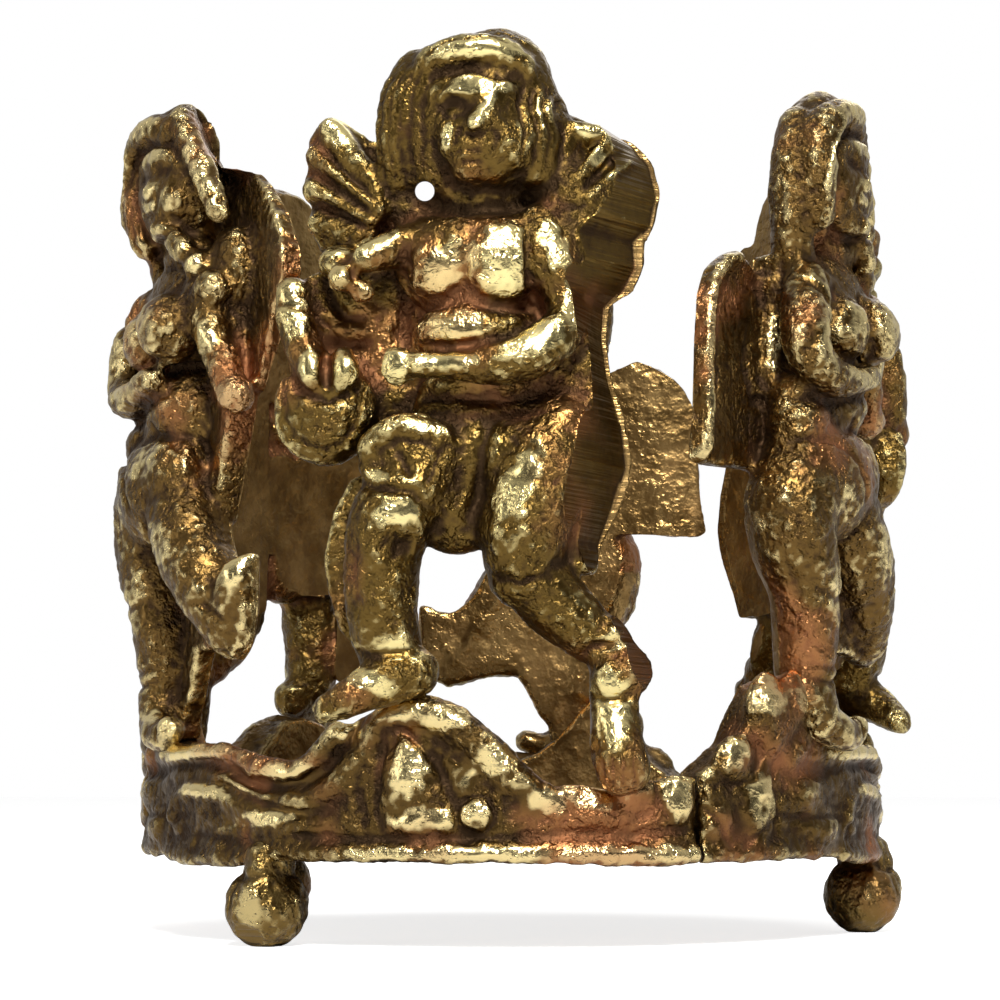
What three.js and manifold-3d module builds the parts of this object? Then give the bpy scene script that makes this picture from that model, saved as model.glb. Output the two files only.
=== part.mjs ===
// Cast brass candle holder: six winged cherubs standing in a ring on a
// rocky scrolled band, with three ball feet and a shallow pan for the candle.
//
// Millimetres, +Z up, the front lute player faces -Y. Angles run around the
// ring from -Y towards +X. Each cherub is modelled as a nearly flat casting,
// x across it, v outward from its back plane and z up, then turned into place.

import * as THREE from 'three';
import { mergeVertices } from 'three/addons/utils/BufferGeometryUtils.js';
import Module from 'manifold-3d';

const wasm = await Module();
wasm.setup();

// Ring and fits
const BAND_INNER = 27.0;          // inner radius of the band
const BACK_PLANE = BAND_INNER;    // the backs of the castings stand over the band's inner wall
const BACK_HOLLOW = 72.0;         // radius of the hollow filed into each back
const HOLLOW_RISE = 0.5;          // how far the hollow goes in front of the back plane
const SOLDER_GAP = 0.3;           // left between two pieces that touch
const LUTE_HEIGHT = 69.2;         // crown of a lute player
const PIPER_HEIGHT = 68.0;        // crown of a piper
const SHOULDERS = 53.0;           // height where the necks rise from the chests
const MOUTH_BELOW_CROWN = 10.0;   // end of the pipe at the piper's mouth
const RADIANS = Math.PI / 180;

// Base band
const BAND_BOTTOM = 6.4;
const BAND_WALL = 4.2;
const BAND_OUTER = BAND_INNER + BAND_WALL;
const LOWER_ROUND = 0.9;          // height of the rounding under the face
const UPPER_ROUND = 1.0;          // height of the rounding at the top
const LEDGE_WIDTH = 2.6;
const LEDGE_INNER = BAND_INNER - LEDGE_WIDTH;
const LEDGE_SHEET = 1.6;
const LEDGE_TOP = BAND_BOTTOM + LEDGE_SHEET;
const SECTIONS = 3;
const SECTION_SPAN = 360 / SECTIONS;
const FIRST_SEAM = -90;
const SECTION_STEPS = 14;

// Candle pan
const PAN_CLEARANCE = 0.4;
const PAN_RADIUS = BAND_INNER - PAN_CLEARANCE;
const PAN_SHEET = 1.0;
const PAN_UNDERSIDE = LEDGE_TOP + SOLDER_GAP;
const PAN_DEPTH = 3.0;
const PAN_TOP = PAN_UNDERSIDE + PAN_DEPTH;

// Ball feet
const FOOT_RADIUS = 3.2;
const FOOT_CENTRE = 2.9;
const FOOT_INSET = 1.6;           // middle of a foot behind the face of the band
const FOOT_RING = BAND_OUTER - FOOT_INSET;
const PEG_RADIUS = 0.8;
const PEG_HEIGHT = 1.5;
const PEG_CLEARANCE = 0.3;
const FOOT_ANGLES = [-36, 84, 231.5];

// Places of the cherubs around the ring, in degrees
const LUTE_ANGLES = [0, 118.5, 236.5];
const PIPER_ANGLES = [-60, 59, 177];
const HEEL_TUCK = [0, 2.4, 0];    // how far each right heel is bent inward

// Small hole drilled beside the chin of every lute player, rising to the back
const DRILL_RADIUS = 0.75;
const DRILL_SIDE = -5.1;
const DRILL_BELOW_CROWN = 12.0;
const DRILL_RISE = 14;
const DRILL_SWING = 5;

// Height of the ground along one section: angle, height
const GROUND = [
  [FIRST_SEAM, 13.2], [-86, 14.4], [-83, 15.5], [-80.5, 17.8], [-77, 20.2], [-73, 20.9],
  [-70, 19.5], [-66, 17.3], [-62, 15.8], [-58, 14.9], [-52, 14.1], [-40, 13.6],
  [-34, 13.7], [-28, 14.6], [-22, 16.3], [-16, 17.9], [-11, 18.7], [-6, 18.1],
  [-2, 16.4], [2, 14.3], [6, 12.8], [10, 12.1], [21, 12.0], [FIRST_SEAM + SECTION_SPAN, 13.2],
];

// Right flank of a lute player, sawn off: height, edge at the back, slant of the cut
const FLANK = [
  [18.6, 12.6, 0.3], [21.2, 12.8, 0.45], [26.4, 9.0, 0.3], [30.0, 8.4, 0.42],
  [36.0, 10.6, 0.62], [46.0, 8.7, 0.28], [50.0, 10.7, 0.75], [57.2, 12.9, 0.75],
  [62.4, 9.0, 0.4],
];
const FLANK_BACK = 1.0;           // the edge is given this far behind the back plane
const HEEL_TOP = 24.0;

const brass = (name, colour, roughness) => {
  const material = new THREE.MeshStandardMaterial({
    color: colour,
    metalness: 1.0,
    roughness,
  });
  material.name = name;
  return material;
};

// Solids

function solidOf(geometry) {
  const bare = geometry.index ? geometry : geometry.clone();
  for (const key of Object.keys(bare.attributes)) {
    if (key !== 'position') bare.deleteAttribute(key);
  }
  const merged = mergeVertices(bare, 1e-4);
  const corners = [];
  const index = merged.index.array;
  for (let i = 0; i < index.length; i += 3) {
    const a = index[i];
    const b = index[i + 1];
    const c = index[i + 2];
    if (a !== b && b !== c && a !== c) corners.push(a, b, c);
  }
  return new wasm.Manifold(new wasm.Mesh({
    numProp: 3,
    vertProperties: new Float32Array(merged.attributes.position.array),
    triVerts: new Uint32Array(corners),
  }));
}

function joined(solids) {
  let list = solids.slice();
  while (list.length > 1) {
    const next = [];
    for (let i = 0; i < list.length; i += 2) {
      next.push(i + 1 < list.length ? list[i].add(list[i + 1]) : list[i]);
    }
    list = next;
  }
  return list[0];
}

function meshOf(solid, name, material) {
  const data = solid.getMesh();
  const geometry = new THREE.BufferGeometry();
  const points = new Float32Array(data.vertProperties);
  geometry.setAttribute('position', new THREE.BufferAttribute(points, 3));
  geometry.setIndex(new THREE.BufferAttribute(new Uint32Array(data.triVerts), 1));
  const faceted = geometry.toNonIndexed();
  faceted.computeVertexNormals();
  const mesh = new THREE.Mesh(faceted, material);
  mesh.name = name;
  return mesh;
}

function turned(solid, degrees) {
  return solid.rotate([0, 0, degrees]);
}

// The v axis of a casting points outward, which is -Y at angle 0.
const at = (x, v, z) => new THREE.Vector3(x, -(BACK_PLANE + v), z);

// Rounded mass: middle, half sizes, lean in the plane of the casting
function mass(x, v, z, halfX, halfV, halfZ, lean = 0, sides = 6, rings = 4) {
  const geometry = new THREE.SphereGeometry(1, sides, rings);
  geometry.rotateX(Math.PI / 2);
  geometry.scale(halfX, halfV, halfZ);
  geometry.rotateY(lean * RADIANS);
  const p = at(x, v, z);
  geometry.translate(p.x, p.y, p.z);
  return solidOf(geometry);
}

// Skin over rings of corners. The rings turn anticlockwise seen from the last
// one, and the cap holds the triangles that close the first and the last.
function loft(rings, cap = []) {
  const sides = rings[0].length;
  const end = (rings.length - 1) * sides;
  const faces = [];
  for (let r = 0; r < rings.length - 1; r += 1) {
    for (let i = 0; i < sides; i += 1) {
      const a = r * sides + i;
      const b = r * sides + ((i + 1) % sides);
      faces.push(a, b, a + sides, b, b + sides, a + sides);
    }
  }
  for (const [a, b, c] of cap) {
    faces.push(a, c, b, end + a, end + b, end + c);
  }
  const geometry = new THREE.BufferGeometry();
  const corners = rings.flat().flatMap((p) => p.toArray());
  geometry.setAttribute('position', new THREE.Float32BufferAttribute(corners, 3));
  geometry.setIndex(faces);
  return solidOf(geometry);
}

// Limb with round ends through points of x, v, z and radius, as one skin
function chain(points, sides = 5) {
  const spots = points.map(([x, v, z]) => at(x, v, z));
  const sizes = points.map((p) => p[3]);
  const last = spots.length - 1;
  const ways = spots.map((spot, i) => {
    const next = spots[Math.min(i + 1, last)];
    const before = spots[Math.max(i - 1, 0)];
    return next.clone().sub(before).normalize();
  });
  const rings = [];
  const addRing = (i, shift, radius) => {
    const along = ways[i];
    const side = new THREE.Vector3(0, 1, 0).cross(along).normalize();
    const out = along.clone().cross(side);
    const ring = [];
    for (let k = 0; k < sides; k += 1) {
      const turn = (k / sides) * Math.PI * 2;
      ring.push(spots[i].clone()
        .addScaledVector(along, shift)
        .addScaledVector(side, radius * Math.cos(turn))
        .addScaledVector(out, radius * Math.sin(turn)));
    }
    rings.push(ring);
  };
  const half = Math.SQRT1_2;
  addRing(0, -sizes[0], 0);
  addRing(0, -sizes[0] * half, sizes[0] * half);
  for (let i = 0; i <= last; i += 1) addRing(i, 0, sizes[i]);
  addRing(last, sizes[last] * half, sizes[last] * half);
  addRing(last, sizes[last], 0);
  return loft(rings);
}

// Flat plate of x and z outline points, between two heights off the back
function plate(outline, low, high) {
  const shape = new THREE.Shape(outline.map(([x, z]) => new THREE.Vector2(x, z)));
  const geometry = new THREE.ExtrudeGeometry(shape, {
    depth: high - low,
    bevelEnabled: false,
    steps: 1,
  });
  geometry.rotateX(Math.PI / 2);
  geometry.translate(0, -(BACK_PLANE + low), 0);
  return solidOf(geometry);
}

function box(sizeX, sizeY, sizeZ, x, y, z, aboutZ = 0) {
  const geometry = new THREE.BoxGeometry(sizeX, sizeY, sizeZ);
  geometry.rotateZ(aboutZ * RADIANS);
  geometry.translate(x, y, z);
  return solidOf(geometry);
}

// Everything behind the back of a casting: a shallow hollow, then nothing
function behindCasting() {
  const tall = 2 * LUTE_HEIGHT;
  const geometry = new THREE.CylinderGeometry(BACK_HOLLOW, BACK_HOLLOW, tall, 48);
  geometry.rotateX(Math.PI / 2);
  geometry.translate(0, BACK_HOLLOW - BACK_PLANE - HOLLOW_RISE, tall / 4);
  return solidOf(geometry);
}

// Base

function groundHeight(angle) {
  for (let i = 0; i + 1 < GROUND.length; i += 1) {
    const [a0, h0] = GROUND[i];
    const [a1, h1] = GROUND[i + 1];
    if (angle <= a1) {
      const t = Math.max(0, (angle - a0) / (a1 - a0));
      return h0 + (h1 - h0) * t;
    }
  }
  return GROUND[GROUND.length - 1][1];
}

const ringPoint = (radius, angle, z) => new THREE.Vector3(
  radius * Math.sin(angle * RADIANS),
  -radius * Math.cos(angle * RADIANS),
  z,
);

// Outline of the band's section, radius and height, for a given top
const bandOutline = (top, grow) => [
  [LEDGE_INNER - grow, BAND_BOTTOM - grow],
  [LEDGE_INNER - grow, LEDGE_TOP],
  [BAND_INNER - grow, LEDGE_TOP],
  [BAND_INNER - grow, top - UPPER_ROUND],
  [BAND_INNER + BAND_WALL * 0.25, top],
  [BAND_OUTER - BAND_WALL * 0.4, top],
  [BAND_OUTER - BAND_WALL * 0.12 + grow, top - UPPER_ROUND],
  [BAND_OUTER + grow, (BAND_BOTTOM + top) / 2],
  [BAND_OUTER + grow, BAND_BOTTOM + LOWER_ROUND],
  [BAND_OUTER - BAND_WALL * 0.05 + grow, BAND_BOTTOM - grow],
];

// One third of the band
function bandSection(grow) {
  const seam = (SOLDER_GAP / 2 / BAND_INNER) / RADIANS;
  const first = FIRST_SEAM + seam - grow;
  const last = FIRST_SEAM + SECTION_SPAN - seam + grow;
  const rings = [];
  for (let i = 0; i <= SECTION_STEPS; i += 1) {
    const angle = first + ((last - first) * i) / SECTION_STEPS;
    const outline = bandOutline(groundHeight(angle) + grow, grow);
    rings.push(outline.map(([radius, z]) => ringPoint(radius, angle, z)));
  }
  const flat = bandOutline(groundHeight(first), 0).map(([radius, z]) => new THREE.Vector2(radius, z));
  const cap = THREE.ShapeUtils.triangulateShape(flat, []).map((corners) => corners.reverse());
  return loft(rings, cap);
}

// Raised fold on the face of the band, through angle and height pairs
function fold(points, radius, grow, depth = 0.4) {
  const path = new THREE.CatmullRomCurve3(
    points.map(([angle, z]) => ringPoint(BAND_OUTER - depth, angle, z)),
  );
  const shape = new THREE.Shape();
  const sides = 4;
  for (let i = 0; i < sides; i += 1) {
    const turn = (i / sides) * Math.PI * 2;
    const x = (radius + grow) * Math.cos(turn);
    const y = (radius + grow) * Math.sin(turn);
    if (i === 0) shape.moveTo(x, y);
    else shape.lineTo(x, y);
  }
  const geometry = new THREE.ExtrudeGeometry(shape, {
    steps: points.length - 1,
    bevelEnabled: false,
    extrudePath: path,
  });
  return solidOf(geometry);
}

// Rock on the face of the band
function rock(angle, z, halfAlong, halfOut, halfUp, lean, grow, depth = 0.6) {
  const geometry = new THREE.SphereGeometry(1, 5, 4);
  geometry.rotateX(Math.PI / 2);
  geometry.scale(halfAlong + grow, halfOut + grow, halfUp + grow);
  geometry.rotateY(lean * RADIANS);
  geometry.translate(0, -(BAND_OUTER - depth), z);
  geometry.rotateZ(angle * RADIANS);
  return solidOf(geometry);
}

function baseSection(grow) {
  return joined([
    bandSection(grow),
    // leaf along the top and the scroll under it
    fold([[-63, 14.2], [-49, 14.1], [-39, 13.5], [-29, 13.1], [-22, 15.6]], 0.9, grow),
    fold([[-57.6, 9.6], [-53, 11.5], [-42, 11.0], [-31, 9.2], [-25, 8.8]], 0.9, grow),
    // the mound under the lute player
    fold([[-16, 16.5], [-9, 17.2], [-1, 14.2], [8, 10.8]], 1.4, grow, 0.7),
    rock(-11.2, 12.6, 2.3, 1.2, 3.6, 12, grow),
    // rocks towards both seams
    rock(13, 10.4, 3.4, 1.1, 1.7, 8, grow),
    rock(26, 10.8, 1.9, 1.0, 2.2, 18, grow),
    rock(-84, 13.4, 1.7, 1.2, 2.1, 34, grow),
    rock(-76, 16.8, 2.8, 1.3, 3.2, -8, grow),
    rock(-80, 10.6, 2.3, 1.1, 2.9, 10, grow),
  ]);
}

// Cherub with a lute

function luteHead() {
  const half = 7.0;
  const h = LUTE_HEIGHT - half;
  return [
    mass(-1.5, 2.4, h, 6.8, 4.3, half, 0, 9, 5),
    mass(-0.2, 4.8, h - 2.0, 4.2, 3.2, 5.0, 8, 7, 5),
    mass(-0.6, 7.7, h - 1.3, 0.8, 1.0, 1.4, 0, 5, 4),
    chain([[-0.8, 2.4, SHOULDERS, 2.8], [-0.8, 2.4, h - 5.6, 2.8]]),
    // hair on both sides of the face and rolled over the forehead
    chain([[-5.6, 3.3, h + 3.4, 2.0], [-6.7, 3.5, h - 1.2, 2.1], [-6.3, 2.8, h - 5.0, 1.5]]),
    chain([[3.9, 4.2, h + 2.8, 1.5], [5.2, 3.2, h - 1.8, 1.9], [5.0, 2.8, h - 5.0, 1.3]]),
    chain([[-5.2, 5.4, h + 2.9, 0.9], [-2.0, 6.4, h + 4.5, 1.0], [1.6, 6.3, h + 4.4, 1.0],
      [3.8, 4.9, h + 2.3, 0.9]]),
  ];
}

function luteWings() {
  return [
    plate([[-3.6, 52.4], [-9.6, 52.0], [-13.2, 53.0], [-14.1, 55.2], [-14.5, 58.0], [-14.2, 61.6],
      [-13.0, 63.2], [-11.6, 63.2], [-3.6, 59.5]], -1.6, 2.0),
    plate([[4, 46], [8.8, 47.4], [10.8, 49.6], [11.7, 52.6], [12.9, 57.4], [12.3, 60.0],
      [10.6, 61.5], [8.6, 61.9], [4, 63]], -1.6, 2.1),
    mass(6.4, 2.2, 55.0, 3.6, 2.6, 5.8, -12),
  ];
}

function luteTrunk() {
  return [
    mass(-1.2, 2.4, 51.2, 6.2, 3.6, 4.2, 0, 7, 5),
    mass(-3.6, 4.5, 50.5, 2.5, 1.8, 2.7),
    mass(0.3, 4.7, 50.6, 2.9, 2.0, 3.1),
    mass(-1.0, 2.8, 45.6, 6.0, 3.4, 4.4),
    mass(0.2, 2.4, 38.0, 6.2, 3.0, 6.0),
    // flank beside the body, and the web between the lute, the cloth and the body
    plate([[1.6, 28.2], [7.8, 27.8], [10.8, 36.0], [8.8, 46.0], [8.9, 49.0], [1.6, 49.4]], -1.6, 3.4),
    plate([[-3, 33.6], [-9.6, 32.0], [-9.6, 38.2], [-14.4, 40.0], [-15.3, 50.2], [-11.5, 52.2],
      [-3, 52]], -1.6, 1.6),
    // arm across the belly with its fist, and the arm to the neck of the lute
    chain([[3.4, 4.2, 53.2, 1.7], [6.2, 4.8, 46.4, 1.9], [1.8, 6.1, 43.2, 1.6], [-4.4, 6.3, 42.8, 1.1],
      [-6.8, 6.1, 42.8, 1.5]]),
    chain([[-5.2, 3.6, 52.8, 1.7], [-10.4, 4.7, 50.9, 1.5]]),
  ];
}

function luteInstrument() {
  return [
    chain([[-15.1, 2.5, 49.2, 1.5], [-14.7, 3.3, 46.6, 1.6], [-12.8, 3.8, 42.4, 1.7]]),
    mass(-12.4, 3.0, 40.1, 3.7, 2.9, 4.1),
    mass(-13.4, 5.2, 43.0, 1.1, 1.4, 1.9, 0, 5, 3),
    mass(-10.8, 5.4, 43.1, 1.1, 1.4, 1.9, 0, 5, 3),
  ];
}

function luteLegs(tuck) {
  return [
    // cloth rolled across the hips, with one end hanging
    chain([[-8.6, 4.3, 36.4, 1.3], [-6.8, 5.1, 38.6, 1.6], [-4.2, 5.3, 38.5, 1.6], [-1.6, 4.3, 35.2, 1.2]]),
    // left leg, standing on the mound
    chain([[-5.2, 3.2, 35.2, 3.3], [-7.5, 3.8, 31.6, 3.5], [-8.0, 3.7, 28.0, 3.2],
      [-7.4, 2.9, 21.6, 2.8]], 5),
    chain([[-6.4, 3.2, 20.4, 2.3], [-9.4, 4.3, 19.2, 1.8], [-12.1, 4.6, 17.9, 1.3]]),
    // right leg forward, its heel out and the foot pointing down
    chain([[5.0, 2.7, 37.6, 3.6], [3.4, 3.5, 33.4, 3.8], [2.6, 3.7, 28.4, 3.2]], 5),
    chain([[2.4, 3.4, 28.6, 2.8], [4.6 - tuck * 0.1, 2.8, 25.8, 2.8], [9.0 - tuck, 2.3, 22.2, 2.1]], 5),
    mass(10.2 - tuck, 2.4, 20.6, 2.5, 2.3, 1.9, -30),
    chain([[9.2 - tuck, 2.8, 20.0, 2.1], [9.2 - tuck, 3.0, 16.8, 2.0], [9.8 - tuck, 3.6, 13.4, 2.3]]),
  ];
}

// What a saw takes off the flank, following its outline
function flankWaste(tuck) {
  const deep = 9.0;
  const wide = 30.0;
  const rings = FLANK.map(([z, edge, slant]) => {
    const back = edge - (z < HEEL_TOP ? tuck : 0);
    return [
      at(back + slant, -2 * FLANK_BACK, z),
      at(back - slant * (deep + FLANK_BACK), deep, z),
      at(wide, deep, z),
      at(wide, -2 * FLANK_BACK, z),
    ];
  });
  return loft(rings, [[0, 1, 2], [0, 2, 3]]);
}

function chinDrill() {
  const drill = new THREE.CylinderGeometry(DRILL_RADIUS, DRILL_RADIUS, 30, 8);
  drill.rotateX(DRILL_RISE * RADIANS);
  drill.rotateZ(DRILL_SWING * RADIANS);
  const p = at(DRILL_SIDE, 2.0, LUTE_HEIGHT - DRILL_BELOW_CROWN);
  drill.translate(p.x, p.y, p.z);
  return solidOf(drill);
}

function luteCherub(tuck) {
  return joined([
    ...luteHead(),
    ...luteWings(),
    ...luteTrunk(),
    ...luteInstrument(),
    ...luteLegs(tuck),
  ]).subtract(flankWaste(tuck)).subtract(chinDrill()).subtract(behindCasting());
}

// Cherub with a pipe

function piperHead() {
  const half = 6.5;
  const h = PIPER_HEIGHT - half;
  return [
    mass(0.0, 2.5, h, 6.4, 4.3, half, 0, 8, 5),
    mass(2.4, 4.8, h - 1.6, 3.6, 3.3, 4.4, 0, 7, 5),
    mass(4.7, 7.4, h - 1.1, 0.9, 1.0, 1.4, 0, 5, 4),
    chain([[0.6, 2.6, SHOULDERS, 2.7], [0.6, 2.6, h - 5.2, 2.7]]),
    chain([[6.2, 1.6, SHOULDERS, 2.4], [5.4, 2.2, h - 3.6, 2.2]]),
    // hood of hair, its band over the forehead and the plaited lock
    chain([[-4.4, 3.2, h + 4.0, 1.9], [-5.8, 3.2, h - 0.6, 2.1], [-5.2, 2.8, h - 6.2, 2.0],
      [-4.2, 2.6, h - 8.7, 1.6]]),
    chain([[-3.4, 5.2, h + 2.6, 1.2], [-0.8, 6.3, h + 4.1, 1.3], [2.4, 6.4, h + 4.5, 1.3],
      [4.8, 5.3, h + 3.4, 1.2]]),
    chain([[4.2, 5.2, h + 4.2, 1.2], [6.8, 4.6, h - 0.5, 1.35], [8.7, 3.8, h - 4.3, 1.1]]),
  ];
}

function piperWings() {
  return [
    // a tall panel with a raised edge on the left, a rounded wing on the right
    plate([[-2, 37.0], [-14.9, 37.0], [-15.2, 44.0], [-14.9, 51.2], [-12.6, 53.3], [-9.8, 54.2],
      [-2, 51]], -1.6, 0.6),
    chain([[-9.4, 0.9, 53.5, 0.8], [-14.1, 0.8, 50.8, 0.9], [-14.4, 0.7, 37.9, 0.9]], 4),
    plate([[2, 62.6], [7.4, 62.2], [10.6, 59.8], [13.2, 56.8], [14.9, 53.0], [15.0, 51.6],
      [12.6, 47.6], [9.6, 43.0], [2, 43]], -1.6, 0.7),
    mass(6.4, 1.6, 53.6, 3.4, 1.9, 4.6, 20),
  ];
}

function piperTrunk() {
  return [
    mass(0.2, 2.6, 50.2, 5.9, 3.7, 5.2, 0, 7, 5),
    mass(-1.5, 5.2, 48.2, 2.8, 2.7, 2.9),
    mass(3.3, 5.4, 48.6, 2.9, 2.9, 3.0),
    mass(-0.6, 2.8, 42.2, 6.2, 3.8, 5.6),
    mass(-2.4, 3.0, 36.0, 6.4, 3.9, 4.9),
    mass(1.5, 4.0, 36.8, 3.5, 3.0, 3.8),
    plate([[-5, 32], [5, 32], [8.6, 42], [7.4, 54], [-6.0, 54], [-6.8, 42]], -1.6, 2.4),
    // left arm bent back to the chest
    chain([[-4.2, 3.8, 51.6, 2.0], [-6.6, 5.2, 47.4, 2.0], [-6.6, 5.6, 45.0, 1.9], [-3.4, 6.4, 43.8, 1.6],
      [1.6, 6.4, 44.8, 1.3]]),
    // right arm, its hand by the neighbour's lute
    chain([[5.2, 3.4, 51.4, 1.9], [9.2, 3.6, 45.4, 1.6], [11.4, 3.0, 42.7, 1.7]]),
    // pipe and the hand on it
    chain([[4.0, 7.0, PIPER_HEIGHT - MOUTH_BELOW_CROWN, 0.8], [7.8, 5.2, 51.8, 1.0]], 4),
    mass(8.2, 4.6, 50.9, 1.6, 1.6, 1.6, 0, 5, 3),
  ];
}

function piperLegs() {
  return [
    // standing leg
    chain([[-3.6, 3.2, 35.4, 4.0], [-4.6, 3.5, 30.4, 3.4], [-5.1, 3.0, 24.6, 2.8],
      [-5.1, 2.9, 21.4, 2.5]], 5),
    chain([[-5.1, 3.1, 19.8, 2.5], [-1.2, 4.8, 17.6, 2.0], [4.2, 5.2, 17.3, 1.5]]),
    // bent leg with the foot raised behind the knee
    chain([[1.6, 3.4, 34.6, 3.6], [4.4, 3.7, 30.8, 3.3], [9.6, 2.6, 23.8, 1.9]], 5),
    chain([[9.7, 2.3, 24.0, 1.8], [12.4, 2.0, 29.2, 1.6]]),
  ];
}

function piperCherub() {
  return joined([
    ...piperHead(),
    ...piperWings(),
    ...piperTrunk(),
    ...piperLegs(),
  ]).subtract(behindCasting());
}

// Foot: ball with a filed flat, a neck and a peg into the band

function ballFoot() {
  const ball = new THREE.SphereGeometry(FOOT_RADIUS, 8, 6);
  ball.rotateX(Math.PI / 2);
  ball.translate(0, 0, FOOT_CENTRE);
  const neckTop = BAND_BOTTOM - SOLDER_GAP;
  const neckRadius = FOOT_RADIUS * 0.7;
  const neck = new THREE.LatheGeometry([
    new THREE.Vector2(0, FOOT_CENTRE),
    new THREE.Vector2(neckRadius, FOOT_CENTRE),
    new THREE.Vector2(neckRadius, neckTop),
    new THREE.Vector2(PEG_RADIUS, neckTop),
    new THREE.Vector2(PEG_RADIUS, neckTop + PEG_HEIGHT),
    new THREE.Vector2(0, neckTop + PEG_HEIGHT),
  ], 8);
  neck.rotateX(Math.PI / 2);
  // strap folded over the front of the ball
  const strap = new THREE.SphereGeometry(1, 6, 4);
  strap.rotateX(Math.PI / 2);
  strap.scale(1.4, 1.4, neckTop / 2 - 0.9);
  strap.translate(0.8, -FOOT_RADIUS * 0.7, neckTop / 2 + 0.8);
  return joined([solidOf(ball), solidOf(neck), solidOf(strap)])
    .subtract(box(4 * FOOT_RADIUS, 4 * FOOT_RADIUS, FOOT_RADIUS, 0, 0, -FOOT_RADIUS / 2));
}

function pegHole(angle) {
  const deep = PEG_HEIGHT + PEG_CLEARANCE;
  const hole = new THREE.CylinderGeometry(
    PEG_RADIUS + PEG_CLEARANCE,
    PEG_RADIUS + PEG_CLEARANCE,
    deep + 2,
    8,
  );
  hole.rotateX(Math.PI / 2);
  const p = ringPoint(FOOT_RING, angle, BAND_BOTTOM + deep / 2 - 1);
  hole.translate(p.x, p.y, p.z);
  return solidOf(hole);
}

function candlePan() {
  const rim = PAN_RADIUS - PAN_SHEET;
  const floorTop = PAN_UNDERSIDE + PAN_SHEET;
  return solidOf(new THREE.LatheGeometry([
    new THREE.Vector2(0, PAN_UNDERSIDE),
    new THREE.Vector2(rim - 0.6, PAN_UNDERSIDE),
    new THREE.Vector2(PAN_RADIUS, PAN_UNDERSIDE + 0.9),
    new THREE.Vector2(PAN_RADIUS, PAN_TOP),
    new THREE.Vector2(rim, PAN_TOP),
    new THREE.Vector2(rim, floorTop + 0.7),
    new THREE.Vector2(rim - 1.0, floorTop),
    new THREE.Vector2(0, floorTop),
  ], 32).rotateX(Math.PI / 2));
}

// Assembly

const holder = new THREE.Group();
const ring = new THREE.Group();
holder.add(ring);

const clearBase = baseSection(SOLDER_GAP);
const plainBase = baseSection(0);
const piper = piperCherub();

for (let n = 0; n < SECTIONS; n += 1) {
  const home = SECTION_SPAN * n;
  const holed = turned(plainBase, home).subtract(pegHole(FOOT_ANGLES[n]));
  ring.add(meshOf(holed, `base_section_${n + 1}`, brass('worn_brass_base', 0x8f7430, 0.42)));

  const luteAngle = LUTE_ANGLES[n];
  const lute = meshOf(
    luteCherub(HEEL_TUCK[n]).subtract(turned(clearBase, home - luteAngle)),
    `lute_cherub_${n + 1}`,
    brass('worn_brass_figure', 0xa6873a, 0.36),
  );
  lute.rotation.z = luteAngle * RADIANS;
  ring.add(lute);

  const pipeAngle = PIPER_ANGLES[n];
  const pipe = meshOf(
    piper.subtract(turned(clearBase, home - pipeAngle)),
    `piper_cherub_${n + 1}`,
    brass('worn_brass_figure', 0xa6873a, 0.36),
  );
  pipe.rotation.z = pipeAngle * RADIANS;
  ring.add(pipe);

  const foot = meshOf(ballFoot(), `ball_foot_${n + 1}`, brass('worn_brass_foot', 0x94783a, 0.38));
  const footAngle = FOOT_ANGLES[n] * RADIANS;
  foot.position.set(FOOT_RING * Math.sin(footAngle), -FOOT_RING * Math.cos(footAngle), 0);
  ring.add(foot);
}

ring.add(meshOf(candlePan(), 'candle_pan', brass('dull_brass_pan', 0x7d6a3a, 0.5)));

// The origin is the middle of the bounding box, on the ground.
ring.updateMatrixWorld(true);
const bounds = new THREE.Box3().setFromObject(ring, true);
ring.position.set(
  -(bounds.min.x + bounds.max.x) / 2,
  -(bounds.min.y + bounds.max.y) / 2,
  -bounds.min.z,
);

export default holder;
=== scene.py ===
import math

import bmesh
import bpy
import numpy as np
from mathutils import Matrix, Vector, noise


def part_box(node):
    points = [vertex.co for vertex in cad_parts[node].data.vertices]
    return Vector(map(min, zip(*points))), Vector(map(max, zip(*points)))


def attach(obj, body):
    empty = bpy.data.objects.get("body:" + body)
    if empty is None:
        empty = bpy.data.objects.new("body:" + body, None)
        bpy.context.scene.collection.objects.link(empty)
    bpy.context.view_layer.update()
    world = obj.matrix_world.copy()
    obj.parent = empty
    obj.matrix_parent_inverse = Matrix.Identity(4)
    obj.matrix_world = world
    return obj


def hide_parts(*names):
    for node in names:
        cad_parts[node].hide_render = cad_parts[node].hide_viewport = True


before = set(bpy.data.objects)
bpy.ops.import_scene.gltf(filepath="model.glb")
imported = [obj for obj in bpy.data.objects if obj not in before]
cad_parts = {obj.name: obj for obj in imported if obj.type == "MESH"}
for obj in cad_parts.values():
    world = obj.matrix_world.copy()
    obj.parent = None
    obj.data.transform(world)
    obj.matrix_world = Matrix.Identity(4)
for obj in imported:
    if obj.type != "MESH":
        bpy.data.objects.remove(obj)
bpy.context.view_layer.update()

# Shapes are made in millimetres in the frame of one casting and put in place at the end.
# In that frame x runs across the casting, v outward from its back and z up.
MM = 0.001
BACK = 27.0
BACK_RADIUS = 72.0
BACK_LIFT = 0.5
FIGURE_GRID = 0.27
BASE_GRID = 0.28
FOOT_GRID = 0.2

# Places in the ring, in degrees from the front towards the right
LUTE_ANGLES = (0.0, 118.5, 236.5)
PIPER_ANGLES = (-60.0, 59.0, 177.0)
FOOT_ANGLES = (-36.0, 84.0, 231.5)
SECTION_ANGLES = (-30.0, 90.0, 210.0)

# Left wing of the piper: where it begins to bend, and how far on the bend counts in full
WING_ROOT = -8.0
WING_REACH = 7.0

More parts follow.
